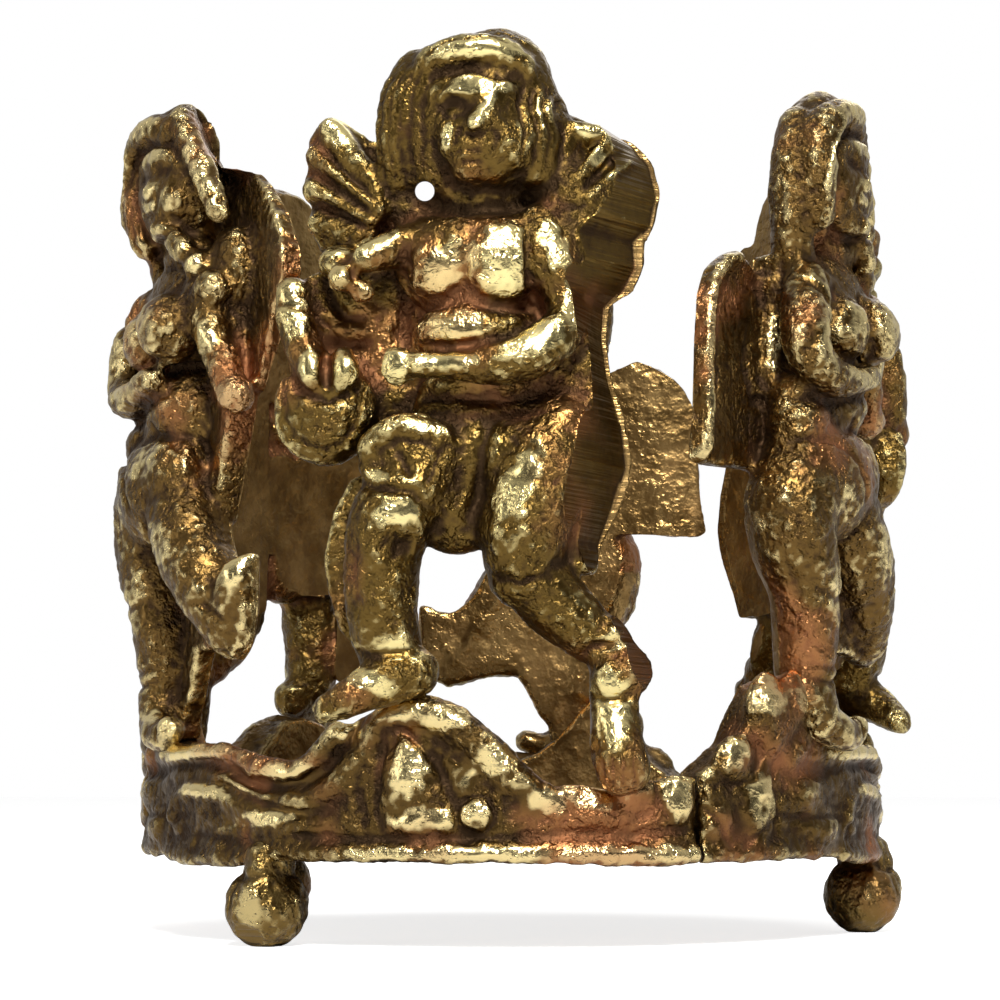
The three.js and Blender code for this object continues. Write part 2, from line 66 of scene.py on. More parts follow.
# Smoothing of a skin, its carving and its marks
STEP_IN = 0.5
STEP_OUT = 0.52
CREASE_FILL = 0.5
CREASE_SMOOTH = 0.15
FRONT_GAIN = 1.6
LINE_END = 0.25
OUTWARD_FROM = 0.55
OUTWARD_SPAN = 0.35
FINE_ROUNDS, FINE_DEPTH = 5, 0.035
# broad hollows: the material paints them as shade, and broad bulges as highlight
WIDE_ROUNDS, WIDE_DEPTH = 70, 0.45
# Share of the cast roughness that filing takes away, and rubbing
FILED = 0.75
HANDLED = 0.2


# Tables

def places(text):
    """Numbers of each place, the places parted by commas."""
    return [tuple(float(number) for number in place.split()) for place in text.split(",")]


def rows(text):
    """Word, sizes and points of rows such as 'slab -1.6 1.4: 5 60, 4 62'.

    A row that ends with a comma goes on in the next line.
    """
    for row in text.replace(",\n", ",").strip().splitlines():
        if not row.startswith("#"):
            head, _, tail = row.partition(":")
            word, *sizes = head.split()
            yield word, [float(size) for size in sizes], places(tail) if tail else []


# Clay and skin

def mesh_of(bm, name):
    mesh = bpy.data.meshes.new(name)
    bm.to_mesh(mesh)
    bm.free()
    return mesh


def added(name, data):
    """New object in the scene."""
    item = bpy.data.objects.new(name, data)
    bpy.context.scene.collection.objects.link(item)
    return item


def changed(mesh, kind, **settings):
    """New mesh: the given one after one modifier."""
    body = added("body", mesh)
    modifier = body.modifiers.new("change", kind)
    for key, value in settings.items():
        setattr(modifier, key, value)
    graph = bpy.context.evaluated_depsgraph_get()
    made = bpy.data.meshes.new_from_object(body.evaluated_get(graph))
    bpy.data.objects.remove(body)
    return made


def triples(items, key):
    """Three values of each item of a mesh."""
    flat = np.empty(len(items) * 3, np.float32)
    items.foreach_get(key, flat)
    return flat.reshape(-1, 3)


def spot(x, v, z):
    return Vector((x, -(BACK + v), z))


def curl(x, v, z, half_x, half_z, start, stop, radius, count=9):
    """Points around part of an oval, in degrees from the right through the top."""
    turns = [math.radians(start + (stop - start) * i / (count - 1)) for i in range(int(count))]
    return [(x + half_x * math.cos(t), v, z + half_z * math.sin(t), radius) for t in turns]


def soft_path(points, share=0.3):
    """Points of x, v, z and radius joined by a smooth curve, close enough for one skin."""
    points = [np.array(p, float) for p in points]
    ends = [2 * points[0] - points[1]] + points + [2 * points[-1] - points[-2]]
    made = []
    for before, start, end, after in zip(ends, ends[1:], ends[2:], ends[3:]):
        steps = max(2, int(np.linalg.norm((end - start)[:3]) / (share * start[3])))
        for step in range(steps):
            t = step / steps
            bow = 2 * before - 5 * start + 4 * end - after
            twist = 3 * start - before - 3 * end + after
            made.append(0.5 * (2 * start + (end - before) * t + bow * t * t + twist * t ** 3))
    made.append(points[-1])
    return made


class Clay:
    """Closed shapes laid over each other, to be fused into one skin."""

    def __init__(self):
        self.bm = bmesh.new()

    def mass(self, x, v, z, half_x, half_v, half_z, lean=0.0):
        shape = (
            Matrix.Translation(spot(x, v, z))
            @ Matrix.Rotation(math.radians(lean), 4, "Y")
            @ Matrix.Diagonal((half_x, half_v, half_z, 1.0))
        )
        bmesh.ops.create_icosphere(self.bm, subdivisions=4, radius=1.0, matrix=shape)

    def limb(self, points):
        part = bmesh.new()
        for x, v, z, radius in soft_path(points):
            shape = Matrix.Translation(spot(x, v, z))
            bmesh.ops.create_icosphere(part, subdivisions=2, radius=radius, matrix=shape)
        mesh = mesh_of(part, "limb")
        self.bm.from_mesh(mesh)
        bpy.data.meshes.remove(mesh)

    def plait(self, points):
        """Limb with a strand bulging out at its left and right by turns."""
        self.limb(points)
        for step, (x, v, z, radius) in enumerate(soft_path(points, 1.6)):
            side = 0.15 if step % 2 else -0.15
            strand = radius * 0.8
            self.mass(x + side, v + 0.25, z, strand, strand, strand, 30)

    def slab(self, outline, low, high):
        corners = [self.bm.verts.new(spot(x, low, z)) for x, z in outline]
        face = self.bm.faces.new(corners)
        grown = bmesh.ops.extrude_face_region(self.bm, geom=[face])
        moved = [item for item in grown["geom"] if isinstance(item, bmesh.types.BMVert)]
        bmesh.ops.translate(self.bm, vec=(0.0, low - high, 0.0), verts=moved)
        sides = {f for v in corners + moved for f in v.link_faces}
        bmesh.ops.recalc_face_normals(self.bm, faces=list(sides))

    def model(self, text):
        """Lays down the shapes of a table in its order."""
        for word, sizes, points in rows(text):
            if word == "mass":
                self.mass(*sizes)
            elif word == "limb":
                self.limb(points)
            elif word == "slab":
                self.slab(points, *sizes)
            elif word == "curl":
                self.limb(curl(*sizes))
            elif word == "plait":
                self.plait(points)

    def fused(self, grid):
        """One closed skin around all the shapes."""
        mesh = mesh_of(self.bm, "clay")
        skin = changed(mesh, "REMESH", mode="VOXEL", voxel_size=grid)
        bpy.data.meshes.remove(mesh)
        return skin


class Skin:
    """Skin of a casting that is smoothed, carved and textured point by point."""

    def __init__(self, mesh):
        self.mesh = mesh
        self.count = len(mesh.vertices)
        self.co = triples(mesh.vertices, "co").astype(float)
        ends = np.empty(len(mesh.edges) * 2, np.int32)
        mesh.edges.foreach_get("vertices", ends)
        self.one, self.other = ends.reshape(-1, 2).T
        self.degree = np.bincount(np.concatenate((self.one, self.other)), minlength=self.count)
        self.marks = {"sawn": np.zeros(self.count), "back": np.zeros(self.count)}
        self.refresh()

    def refresh(self):
        self.mesh.vertices.foreach_set("co", self.co.astype(np.float32).ravel())
        self.mesh.update()
        self.normal = triples(self.mesh.vertex_normals, "vector").astype(float)
        self.front = np.clip(-self.normal[:, 1] * FRONT_GAIN, 0.0, 1.0)

    def averaged(self, values):
        total = np.empty_like(values)
        for k in range(values.shape[1]):
            total[:, k] = np.bincount(self.one, values[self.other, k], self.count)
            total[:, k] += np.bincount(self.other, values[self.one, k], self.count)
        return total / self.degree[:, None]

    def relax(self, rounds):
        """Evens the skin out and keeps its size."""
        for _ in range(rounds):
            self.co += STEP_IN * (self.averaged(self.co) - self.co)
            self.co -= STEP_OUT * (self.averaged(self.co) - self.co)
        self.refresh()

    def soften_creases(self, rounds):
        """Fills the valleys where two forms meet and leaves what stands out as it is."""
        for _ in range(rounds):
            pull = self.averaged(self.co) - self.co
            self.refresh()
            lift = np.maximum((pull * self.normal).sum(axis=1), 0.0)
            self.co += CREASE_FILL * lift[:, None] * self.normal
            self.co += CREASE_SMOOTH * pull
        self.refresh()

    def near(self, line):
        """Distance of each point from a line of x and z, and its place along that line."""
        flat = self.co[:, (0, 2)]
        line = np.array(line, float)
        lengths = np.linalg.norm(np.diff(line, axis=0), axis=1)
        total = max(lengths.sum(), 1e-6)
        best = np.full(self.count, np.inf)
        place = np.zeros(self.count)
        done = 0.0
        for start, end, length in zip(line, line[1:], lengths):
            along = (flat - start) @ (end - start) / max(length * length, 1e-9)
            along = np.clip(along, 0.0, 1.0)
            gap = np.linalg.norm(flat - (start + along[:, None] * (end - start)), axis=1)
            closer = gap < best
            best[closer] = gap[closer]
            place[closer] = (done + along[closer] * length) / total
            done += length
        return best, place

    def draw(self, line, width, height, taper=0.18):
        """Raises a ridge on the front along a line, or cuts a groove where height is below 0."""
        gap, place = self.near(line)
        fade = np.clip(np.minimum(place, 1.0 - place) / taper, 0.0, 1.0) if taper else 1.0
        weight = np.exp(-(gap / width) ** 2) * (LINE_END + (1.0 - LINE_END) * fade) * self.front
        self.co += self.normal * (height * weight)[:, None]

    def from_spot(self, x, z, half_x, half_z, lean=0.0):
        """Squared distance of each point from a leaning oval spot, 1 at its edge."""
        turn = math.radians(lean)
        across = self.co[:, 0] - x
        up = self.co[:, 2] - z
        a = (across * math.cos(turn) - up * math.sin(turn)) / half_x
        b = (across * math.sin(turn) + up * math.cos(turn)) / half_z
        return a * a + b * b

    def dab(self, x, z, half_x, half_z, height, lean=0.0):
        """Presses a rounded dent into the front, or raises a swelling."""
        weight = np.exp(-self.from_spot(x, z, half_x, half_z, lean)) * self.front
        self.co += self.normal * (height * weight)[:, None]

    def carve(self, text):
        """Draws and dabs the rows of a table in its order."""
        for word, sizes, points in rows(text):
            if word == "draw":
                self.draw(points, *sizes)
            elif word == "dab":
                self.dab(*sizes)

    def roughen(self, size, height, seed, where=1.0):
        shift = Vector((seed, seed * 0.7, -seed))
        grain = np.array([noise.noise(Vector(p) / size + shift) for p in self.co])
        self.co += self.normal * (height * grain * where)[:, None]

    def paint_wear_highlights(self, spots, sideways=0.0):
        """Marks the places on the front that hands have rubbed bright, with a painted highlight laid on
        them, or mostly their sides.
        """
        mark = np.zeros(self.count)
        for oval in spots:
            mark = np.maximum(mark, np.exp(-self.from_spot(*oval) ** 2))
        # the painted highlight is weakened where the surface faces straight out
        outward = np.clip((-self.normal[:, 1] - OUTWARD_FROM) / OUTWARD_SPAN, 0.0, 1.0)
        self.marks["wear_highlight"] = mark * self.front * (1.0 - sideways * outward)

    def file_back(self, bend=0.0):
        """Flattens everything behind the shallow hollow of the back, and bends the left wing outward."""
        across = np.clip(self.co[:, 0], -30.0, 30.0)
        level = np.sqrt(BACK_RADIUS ** 2 - across ** 2) - (BACK_RADIUS - BACK_LIFT)
        behind = -(BACK + level + bend * np.clip((WING_ROOT - across) / WING_REACH, 0.0, 1.0) ** 2)
        self.marks["back"] = (self.co[:, 1] > behind - 0.02).astype(float)
        self.co[:, 1] = np.minimum(self.co[:, 1], behind)

    def hollows(self, rounds):
        """How far each point lies below a smoothed copy of the skin."""
        soft = self.co.copy()
        for _ in range(rounds):
            soft += STEP_IN * (self.averaged(soft) - soft)
        return ((soft - self.co) * self.normal).sum(axis=1)

    def finished(self, name):
        self.refresh()
        self.marks["hollow"] = np.clip(self.hollows(FINE_ROUNDS) / FINE_DEPTH, -1.0, 1.0)
        # broad hollow mark: painted shade in low places between forms, painted highlight on broad bulges
        self.marks["shade"] = np.clip(self.hollows(WIDE_ROUNDS) / WIDE_DEPTH, -1.0, 1.0)
        for mark, values in self.marks.items():
            layer = self.mesh.attributes.new(mark, "FLOAT", "POINT")
            layer.data.foreach_set("value", np.asarray(values, np.float32))
        self.mesh.name = name
        self.mesh.polygons.foreach_set("use_smooth", [True] * len(self.mesh.polygons))
        return self.mesh


def raw_casting(clay, grid, rounds):
    """Skin of the fused clay, evened out, with its creases filled."""
    skin = Skin(clay.fused(grid))
    skin.relax(2)
    skin.soften_creases(rounds)
    return skin


# Cherub with a lute

LUTE_SHAPES = """
# head
mass -1.5 2.4 62.3 6.7 4.1 7
mass -2.4 3 64.2 4.8 3.6 4.4
mass 0.6 3 65 4.2 3.2 4.5
mass -0.8 2.6 55.4 3.6 2.4 2.4
# hair falling on both sides of the face
limb: -5.4 3.2 66 2, -6.4 3.6 63.6 2.2, -6.9 3.3 60.4 1.9, -7 2.8 58.2 1.4
limb: 3.4 3.4 65 1.5, 4.5 2.9 62.6 1.5, 5.2 2.6 60 1.6, 5.6 2.6 57.2 1.4
mass 4.9 2.4 59.4 2.1 2.2 4
mass 3.2 4 60.8 2.3 2.3 4.2
# fringe rolled over the forehead
limb: -5.6 4.3 64.8 1.2, -4.2 5.3 66.3 1.3, -1.8 5.9 67 1.35, 0.6 5.9 66.9 1.3, 2.6 5.3 65.8 1.05
# face turned a little down and to the side
mass -0.3 4.5 60.9 4 3.2 4.7 8
mass -0.5 5.9 63.6 3.1 1.8 1.9
mass -2.6 5.8 60 1.5 1.5 1.7
mass 1.6 5.9 59.9 2 1.7 2.1
limb: 0.6 7.1 63.2 0.5, 0 7.5 62.1 0.58, -0.8 7.9 60.9 0.72
mass -1.4 6.6 58.9 1.25 1 0.75
mass -1.4 6 57.7 1.3 1.1 0.95
# web beside the chin, where the hole is drilled
mass -5.6 1.2 56.2 3.2 1.9 3
# wings
slab -1.6 1.4: -5 52.4, -9.6 52, -13.2 53, -14.2 54.8, -13.8 56.2, -14.6 57.8, -14.1 59.6, -14.2 61.6,
 -13.1 63.1, -11.7 63.2, -9.6 61.6, -5 60
limb: -12.3 1.6 62.1 1.15, -10.6 2.2 59.8 1.1, -8.6 2.7 57 1
limb: -13.2 1.6 60.2 1.2, -11.2 2.3 58.2 1.15, -8.6 2.9 55.6 1
limb: -13.5 1.5 57.6 1.2, -11.4 2.1 56.4 1.1, -9.2 2.7 54.8 0.95
limb: -13.2 1.2 55 1.1, -11.4 1.8 54.2 1.05, -9.4 2.3 53.4 0.9
slab -1.6 1.9: 4 46, 8.8 47.4, 9 48.6, 10.8 49.6, 11.6 51.6, 11.8 53.4, 12.5 55.2, 12.9 57.4, 12.3 60,
 10.6 61.5, 8.6 61.9, 6 63.2, 4 63
mass 6.4 2.2 55 3.6 2.6 5.8 -12
limb: 6.4 3.4 61.4 0.85, 8.6 2.8 61 0.85, 10.8 1.8 60.2 0.8
limb: 10.9 1.9 59.4 0.85, 9 2.9 57.4 0.95, 7.2 3.8 54.9 0.9, 6.4 4.2 52.8 0.8
limb: 9.4 2.4 60.2 0.75, 7.4 3.4 58.2 0.85, 5.8 4 55.8 0.8
limb: 11.4 1.2 57.6 0.9, 9.8 2.4 55 1, 8.3 3.4 52.4 0.9, 7.9 3.6 50 0.8
# trunk
mass -1.2 2.4 51.2 6.2 3.4 4.2
mass -1.4 2.6 53.4 6.2 2.8 2
mass -1.2 3.6 51.8 5.6 2.7 3.6
mass -3.6 4.4 50.9 2.9 1.9 2.9
mass 0.5 4.8 51 3.3 2.1 3.6
mass -1 3.4 45.6 4.9 3.1 2.9
mass -0.8 2.2 40.4 5.2 2.6 3.6
mass 1.4 2.4 36.6 6 3 3.6
# block beside the body that is sawn away along its edge
slab -1.6 3.4: 1.6 28.2, 7.8 27.8, 8.2 30, 10.2 34, 10.6 36.6, 10 40, 9 43, 8.7 46, 8.9 49, 1.6 49.4
# web between the lute, the cloth and the body
slab -1.6 1.5: -3 30, -9.8 30.6, -9 35.6, -9.6 38.2, -14.4 40, -15.6 44, -15.2 50.2, -11.5 52.2, -3 52
# arm across the belly, with a flared fist
limb: 3.4 3.8 54.2 1.7, 4.7 4.2 51.4 1.9, 5.6 4.3 48.6 1.7, 6 4.6 46.6 1.6
limb: 5.8 4.9 46.2 1.6, 4.2 5.7 44.4 1.95, 1.8 6.1 43.2 1.8, -0.6 6.2 42.8 1.3, -3.4 6.2 42.9 0.95,
 -5.2 6.1 43 1.05
mass -6.7 5.9 43 1.3 1.1 1.55 8
# arm to the neck of the lute
limb: -5.2 3.6 52.8 1.7, -7.4 4.4 52.1 1.45, -9.2 4.9 51.4 1.2
mass -11.3 3 51.4 1.9 1.7 1.4
mass -9.3 5.2 51.3 1.05 1 1.05
mass -11 5.2 49.8 1.1 1.05 1.15
mass -9.5 4.9 48.8 1 0.9 0.9
# lute
limb: -15.2 2 49.4 1.3, -14.9 2.5 47.2 1.5, -14 2.9 44.6 1.6, -12.8 2.9 42.4 1.6
mass -12.4 2.2 40.1 3.7 2.4 4.1
mass -12.4 2.8 39.2 2.7 1.5 2.6
curl -12.6 2.7 40.4 3.4 3.8 150 400 0.5 13
limb: -13.6 3.7 44.4 0.9, -13.4 4.2 42.9 1.1, -13.1 4 41.8 0.9
limb: -11 3.9 44.1 0.9, -10.8 4.4 42.9 1.15, -10.9 4.2 41.8 0.9
mass -12 4 40.3 0.9 0.9 0.9
# cloth
mass -5.4 4 36.6 3.7 2 2.4
limb: -8.9 4.3 35.6 0.9, -8.7 4.7 37.2 1.1, -7 5 38.3 1.2, -4.8 5 38.4 1.2, -3.2 4.6 37.5 1,
 -2.2 4 36.2 0.8
limb: -5.6 4.9 36.8 1, -4.6 4.8 35 1.1, -3.4 4.2 33 0.9, -2.7 3.6 31.6 0.8
limb: -8.9 4.5 35.5 0.9, -8.1 4.8 34.5 0.9, -6.6 4.8 34.9 0.9, -5.4 4.8 35.2 0.8
# inner thighs closed up to the gap between the knees
mass -2.4 2.2 32.8 3.8 2.4 3.6
# standing on the mound with the left leg
limb: -5.2 3.2 34.8 3.1, -7.2 4 31.9 3.3, -8 3.6 28.4 3, -8 3.1 24.6 2.8, -7.4 2.9 21.8 2.5
mass -7.2 5.6 31.7 2.3 1.6 1.4 -12
slab -1.6 0.1: -8 36.4, -10.9 35.3, -12.3 32.5, -12.9 29.5, -12.6 26.8, -11.6 23.8, -10.2 22.2, -8 22
limb: -5.6 3.4 20.4 2, -8 4.3 19.6 1.9, -10.2 4.8 18.5 1.5, -11.9 4.8 17.7 1.15
# right thigh forward, calf crossing to the heel, foot pointing down
limb: 5.2 2.6 38 3.4, 3.8 3.4 34.6 3.7, 2.6 3.9 30.6 3.5, 2.6 3.6 27.8 2.9
limb: 2.4 3.4 28.6 2.6, 4.6 2.8 25.8 2.7, 7 2.4 23.6 2.3, 9 2.2 22.2 1.9
mass 9.4 2.6 23 2 1.9 1.4 -38
mass 10.2 2.4 20.6 2.5 2.3 1.9 -30
limb: 9.2 2.8 20 2, 9.2 2.9 17.4 1.9, 9.4 3.4 15 2.1, 9.8 3.6 13.4 2.2
"""
LUTE_FACE = """
dab -2.5 62.5 1.2 0.75 -0.55 12
dab 2.1 62 1.1 0.6 -0.15 -12
dab 2.5 63.2 1 0.9 -0.35
dab 2.5 60.1 1 1.5 -0.3
dab -2.45 62.2 0.65 0.4 0.32 12
draw 0.24 0.26: -3.9 62.9, -2.9 63.6, -1.6 63.2
draw 0.2 -0.15: -3.5 61.7, -2.5 61.5, -1.6 61.9
draw 0.28 -0.22: -1.9 60.8, -2.4 60, -2.6 59.2
draw 0.28 -0.16: 0.4 60.6, 0.8 59.8, 0.6 59
draw 0.24 -0.34: -1.8 60.2, -1 59.95, -0.1 60.2
draw 0.17 -0.26: -2.3 58.8, -1.4 58.95, -0.4 58.7
draw 0.22 -0.14: -2 58.15, -1.3 58.1, -0.6 58.2
draw 0.45 -0.4: -4.3 61.4, -4 59, -3 57.2, -1.4 56.2, 1 56.4, 2.8 57.4
# groove under the fringe
draw 0.38 -0.4: -4.9 63.4, -4.2 65, -1.4 65.5, 0.4 64.8, 2.4 64.7
"""
LUTE_WINGS_AND_CHEST = """
# hair
draw 0.16 -0.16: -5.2 66.2, -3.2 67.5, 0.4 67.8, 2.8 66.8
draw 0.35 -0.2: -4.6 64, -5 61.8, -4.8 58.6
# ribs of both wings
draw 0.32 -0.6: -13.5 61.2, -11.6 59.1, -8.8 56.3
draw 0.32 -0.6: -14.1 59, -11.9 57.3, -9 55.1
draw 0.3 -0.5: -13.8 56.4, -11.6 55.3, -9.2 54
draw 0.24 0.4: 8.8 60.6, 7.6 59, 6.6 57.5
draw 0.3 -0.55: 9.9 60, 8.4 58.1, 7 56.5
draw 0.24 0.3: 10.9 59.6, 9 57.6, 7.3 55.6
# chest, ribs and the fold of each arm
draw 0.5 -0.42: -5.8 48.9, -4.6 47.9, -3.2 48, -1.8 49.1, -0.6 47.7, 1.2 47.2, 2.8 47.6
draw 0.5 -0.15: -1.7 52, -1.8 50.8, -1.8 49.6
draw 0.3 -0.5: 2.9 53.2, 3.1 50, 3.2 48.4, 3.8 47.2
draw 0.6 -0.7: -6.1 52.2, -6.5 49.6, -6.7 46.6, -6.8 44.8
draw 0.35 -0.45: -5.6 44.8, -3 44.4, -0.4 44.7, 1.8 45.4, 3.6 46.8
draw 0.7 -0.9: -7 40.8, -4.8 41.2, -1.4 40.9, 1.6 40.7, 4.4 41.6
draw 0.9 -0.5: -5.6 39.9, -2.6 39.7, 0.4 39.5, 3 39.9
dab 2.6 51.4 0.5 1.3 0.12
draw 0.6 -0.7: -5.8 56.4, -4 55.5, -1.4 55.1, 2.4 55.6, 4 56.6
dab -2.4 43 0.9 0.5 0.15
# hand, fingers and lute
"""
LUTE_NECK = """
draw 0.3 -0.6: -12.3 44.2, -12.2 42.6, -12.1 41.6
draw 0.3 -0.5: -15.2 43.6, -14.6 41.8, -13.4 41, -12 40.6, -10.6 41, -9.6 42
"""
LUTE_CLOTH_AND_KNEE = """
# lute and sleeve
draw 0.25 -0.3: -15.8 48.2, -13.4 47.6, -12.2 46.6
draw 0.35 -0.5: -12.7 50.6, -12.2 48.8, -11.2 47.6, -9.8 47.4
draw 0.2 -0.3: -10.2 50.6, -10 49.6
draw 0.5 -0.45: -12.9 46, -11 45.4, -8.8 45.6
# folds of the cloth
draw 0.25 -0.25: -8 36.6, -6.6 37.4, -4.8 37.3, -3.4 36.4
draw 0.3 -0.4: -6.8 36.8, -6.2 35.8, -5.6 34.6
draw 0.25 -0.3: -4.4 33.9, -3.8 35.8, -3.2 37.2
draw 0.4 -0.5: -9.6 34.4, -7.6 33.9, -5.6 33.6, -4.2 32.2
draw 0.5 -0.6: 0 38.8, -0.6 36.4, -0.8 33.4, -1.6 31.2
draw 0.35 -0.4: 1.2 39.4, 3 39.8, 4.8 39.8
# knees, ankles and toes
dab -6.4 29.4 1.5 1.1 -0.95 10
draw 0.45 -0.25: -9.6 30.6, -9.9 28, -9.6 24.6
draw 0.3 -0.25: -10.6 21.8, -8.4 21.6, -5.6 21.9
"""
LUTE_CALF = """
dab 1.8 29.8 1.4 1.3 0.22
draw 0.35 -0.3: 0.2 27.4, 2.2 26.6, 4.4 27.4, 5.8 29
draw 0.28 -0.4: 6.2 21, 7.6 22.2, 9.2 22.4, 10.8 23.4
draw 0.4 -0.4: 7.4 18.6, 9.2 18.3, 11 18.9
draw 0.2 -0.12: 8.2 16.9, 8.6 14.6
"""
# Rubbed places, painted bright as wear and as highlights: x, z, half sizes and lean
LUTE_WEAR_HIGHLIGHTS = places("""
-0.8 66.9 3.4 0.8, -0.7 63.9 2.4 0.8 4, -0.2 61.9 0.6 1.6 32, -2.9 60.2 0.5 1, 1.2 51.2 1.9 3.2 8,
-2.6 50.6 2.4 1.8 -30, 5 52.2 1.2 2.2 -14, 6.4 47.6 0.9 2, -2.4 46 2.4 1.2 10, 3.4 44.6 2.6 1.2 -28,
-3 43.3 3 0.7, -6.7 43.4 1.2 1.3, -9.4 52.4 2.4 0.9 -14, -11.4 50.4 1 0.9, -13.6 43.4 0.7 1.2,
-10.8 43.8 0.7 1, -4.6 38.8 1.9 0.7 10, -8.3 34.9 0.8 0.6, -6.6 31.9 2 0.9 -8, 2.2 34 1.3 3.6 26,
-6.2 22.2 1.8 1.2, -9 19.8 2.4 0.8 24, 9.8 22.8 1.6 0.8 -30, 9.2 17.6 1.4 2.4, 8 59.4 0.6 2 -34,
-11.6 62 1.4 1.4 40, -15 47.8 1 2.2 -14
""")
# Sawn edge: height, outermost x at the back and slant of the cut
LUTE_CUT = places("""
18.6 12.6 0.3, 20 13.2 0.45, 21.2 12.8 0.45, 23 11.3 0.3, 26.4 9 0.3, 30 8.4 0.42, 33 9.6 0.55,
36 10.6 0.62, 39.4 10.2 0.55, 43 9 0.32, 46 8.6 0.28, 48.4 8.9 0.4, 49.6 10.5 0.7, 51.4 11.5 0.8,
53.5 11.4 0.8, 54.8 12.5 0.8, 57.2 12.9 0.75, 59.4 12.4 0.7, 61 11.2 0.5, 62.4 9 0.3
""")
SAWN_HEIGHTS = (18.6, 62.4)
SAWN_FROM = 2.0
BACK_EDGE = -1.3
RIM_WIDTH = 0.9
UNCUT = 40.0
DRILL_SPOT = (-5.1, 2.0, 57.2)
DRILL_RADIUS = 0.75
DRILL_RISE = 14.0
DRILL_SWING = 5.0
HEEL_TUCK = (0.0, 2.4, 0.0)


def saw_flank(skin):
    """Cuts the right side back at a slant that follows its outline, as a saw does."""
    heights, outermost, slants = np.array(LUTE_CUT).T
    x, y, z = skin.co.T
    level = -y - BACK
    edge = np.interp(z, heights, outermost, left=UNCUT, right=UNCUT)
    limit = edge - (level + 1.0) * np.interp(z, heights, slants)
    reached = (x > SAWN_FROM) & (z > SAWN_HEIGHTS[0]) & (z < SAWN_HEIGHTS[1])
    cut = reached & (level > BACK_EDGE) & (x > limit)
    rim = reached & (level <= BACK_EDGE) & (x > edge - RIM_WIDTH)
    skin.co[:, 0] = np.where(cut, limit, x)
    skin.marks["sawn"] = (cut | rim).astype(float)


def carve_toes(skin, first, apart, top, low, drop=0.0, rise=0.0, lean=0.0):
    for toe in range(4):
        x = first + toe * apart
        skin.draw([(x, top - toe * drop), (x + lean, low + toe * rise)], 0.14, -0.2, 0)


def carve_lute_player(skin):
    skin.carve(LUTE_FACE)
    # locks at the left and the right of the face
    for x, depth in ((-8.4, -0.17), (-7.6, -0.15), (-6.8, -0.11), (-6.0, -0.07)):
        lean = (x + 6.8) * 0.12
        skin.draw([(x + 1.5 - lean, 66.4), (x + 0.2, 63.6), (x, 60.0), (x + 0.6, 56.8)], 0.15, depth)
    for x in (-0.9, 0.0, 0.9, 1.8):
        skin.draw([(3.6 + x, 64.4), (3.2 + x, 62.6), (3.9 + x, 60.4), (3.4 + x, 58.0)], 0.2, -0.26)
    skin.carve(LUTE_WINGS_AND_CHEST)
    for spread in (-0.75, -0.25, 0.25, 0.75):
        skin.draw([(-7.8, 42.8 + spread), (-6.2, 42.8 + spread * 0.7)], 0.13, -0.16)
    skin.carve(LUTE_NECK)
    skin.draw([(x, z) for x, v, z, radius in curl(-12.6, 0, 40.4, 2.9, 3.3, 170, 380, 1)], 0.2, -0.2)
    skin.carve(LUTE_CLOTH_AND_KNEE)
    carve_toes(skin, -12.6, 0.85, 18.9, 17.4, drop=0.05, rise=0.15, lean=-0.25)
    skin.carve(LUTE_CALF)
    carve_toes(skin, 8.3, 0.8, 14.0, 12.2, lean=0.05)
    skin.refresh()


def drill_chin_hole(mesh):
    """Small hole bored through beside the chin."""
    bm = bmesh.new()
    bmesh.ops.create_cone(
        bm, cap_ends=True, segments=24, radius1=DRILL_RADIUS, radius2=DRILL_RADIUS, depth=30.0)
    turn = (
        Matrix.Translation(spot(*DRILL_SPOT))
        @ Matrix.Rotation(math.radians(DRILL_SWING), 4, "Z")
        @ Matrix.Rotation(math.radians(90 + DRILL_RISE), 4, "X")
    )
    bmesh.ops.transform(bm, matrix=turn, verts=bm.verts)
    cutter_mesh = mesh_of(bm, "drill")
    cutter = added("drill", cutter_mesh)
    drilled = changed(mesh, "BOOLEAN", operation="DIFFERENCE", solver="MANIFOLD", object=cutter)
    bpy.data.objects.remove(cutter)
    bpy.data.meshes.remove(cutter_mesh)
    return drilled


def lute_cherub():
    clay = Clay()
    clay.model(LUTE_SHAPES)
    skin = raw_casting(clay, FIGURE_GRID, rounds=10)
    saw_flank(skin)
    skin.file_back()
    skin.relax(1)
    carve_lute_player(skin)
    skin.relax(1)
    skin.paint_wear_highlights(LUTE_WEAR_HIGHLIGHTS)
    filed = np.maximum(skin.marks["sawn"], skin.marks["back"])
    cast = 1.0 - FILED * filed - HANDLED * skin.marks["wear_highlight"]
    skin.roughen(size=1.5, height=0.12, seed=3.0, where=cast)
    skin.roughen(size=0.6, height=0.08, seed=9.0, where=cast)
    return drill_chin_hole(skin.finished("lute_cherub"))


def tucked(mesh, tuck):
    """Copy of the lute player with the right heel bent inward."""
    made = mesh.copy()
    co = triples(made.vertices, "co")
    ease = np.clip((co[:, 0] - 3.0) / 6.0, 0, 1) * np.clip((31.0 - co[:, 2]) / 8.0, 0, 1)
    co[:, 0] -= tuck * ease * ease * (3 - 2 * ease)
    made.vertices.foreach_set("co", co.ravel())
    made.update()
    return made


# Cherub with a pipe

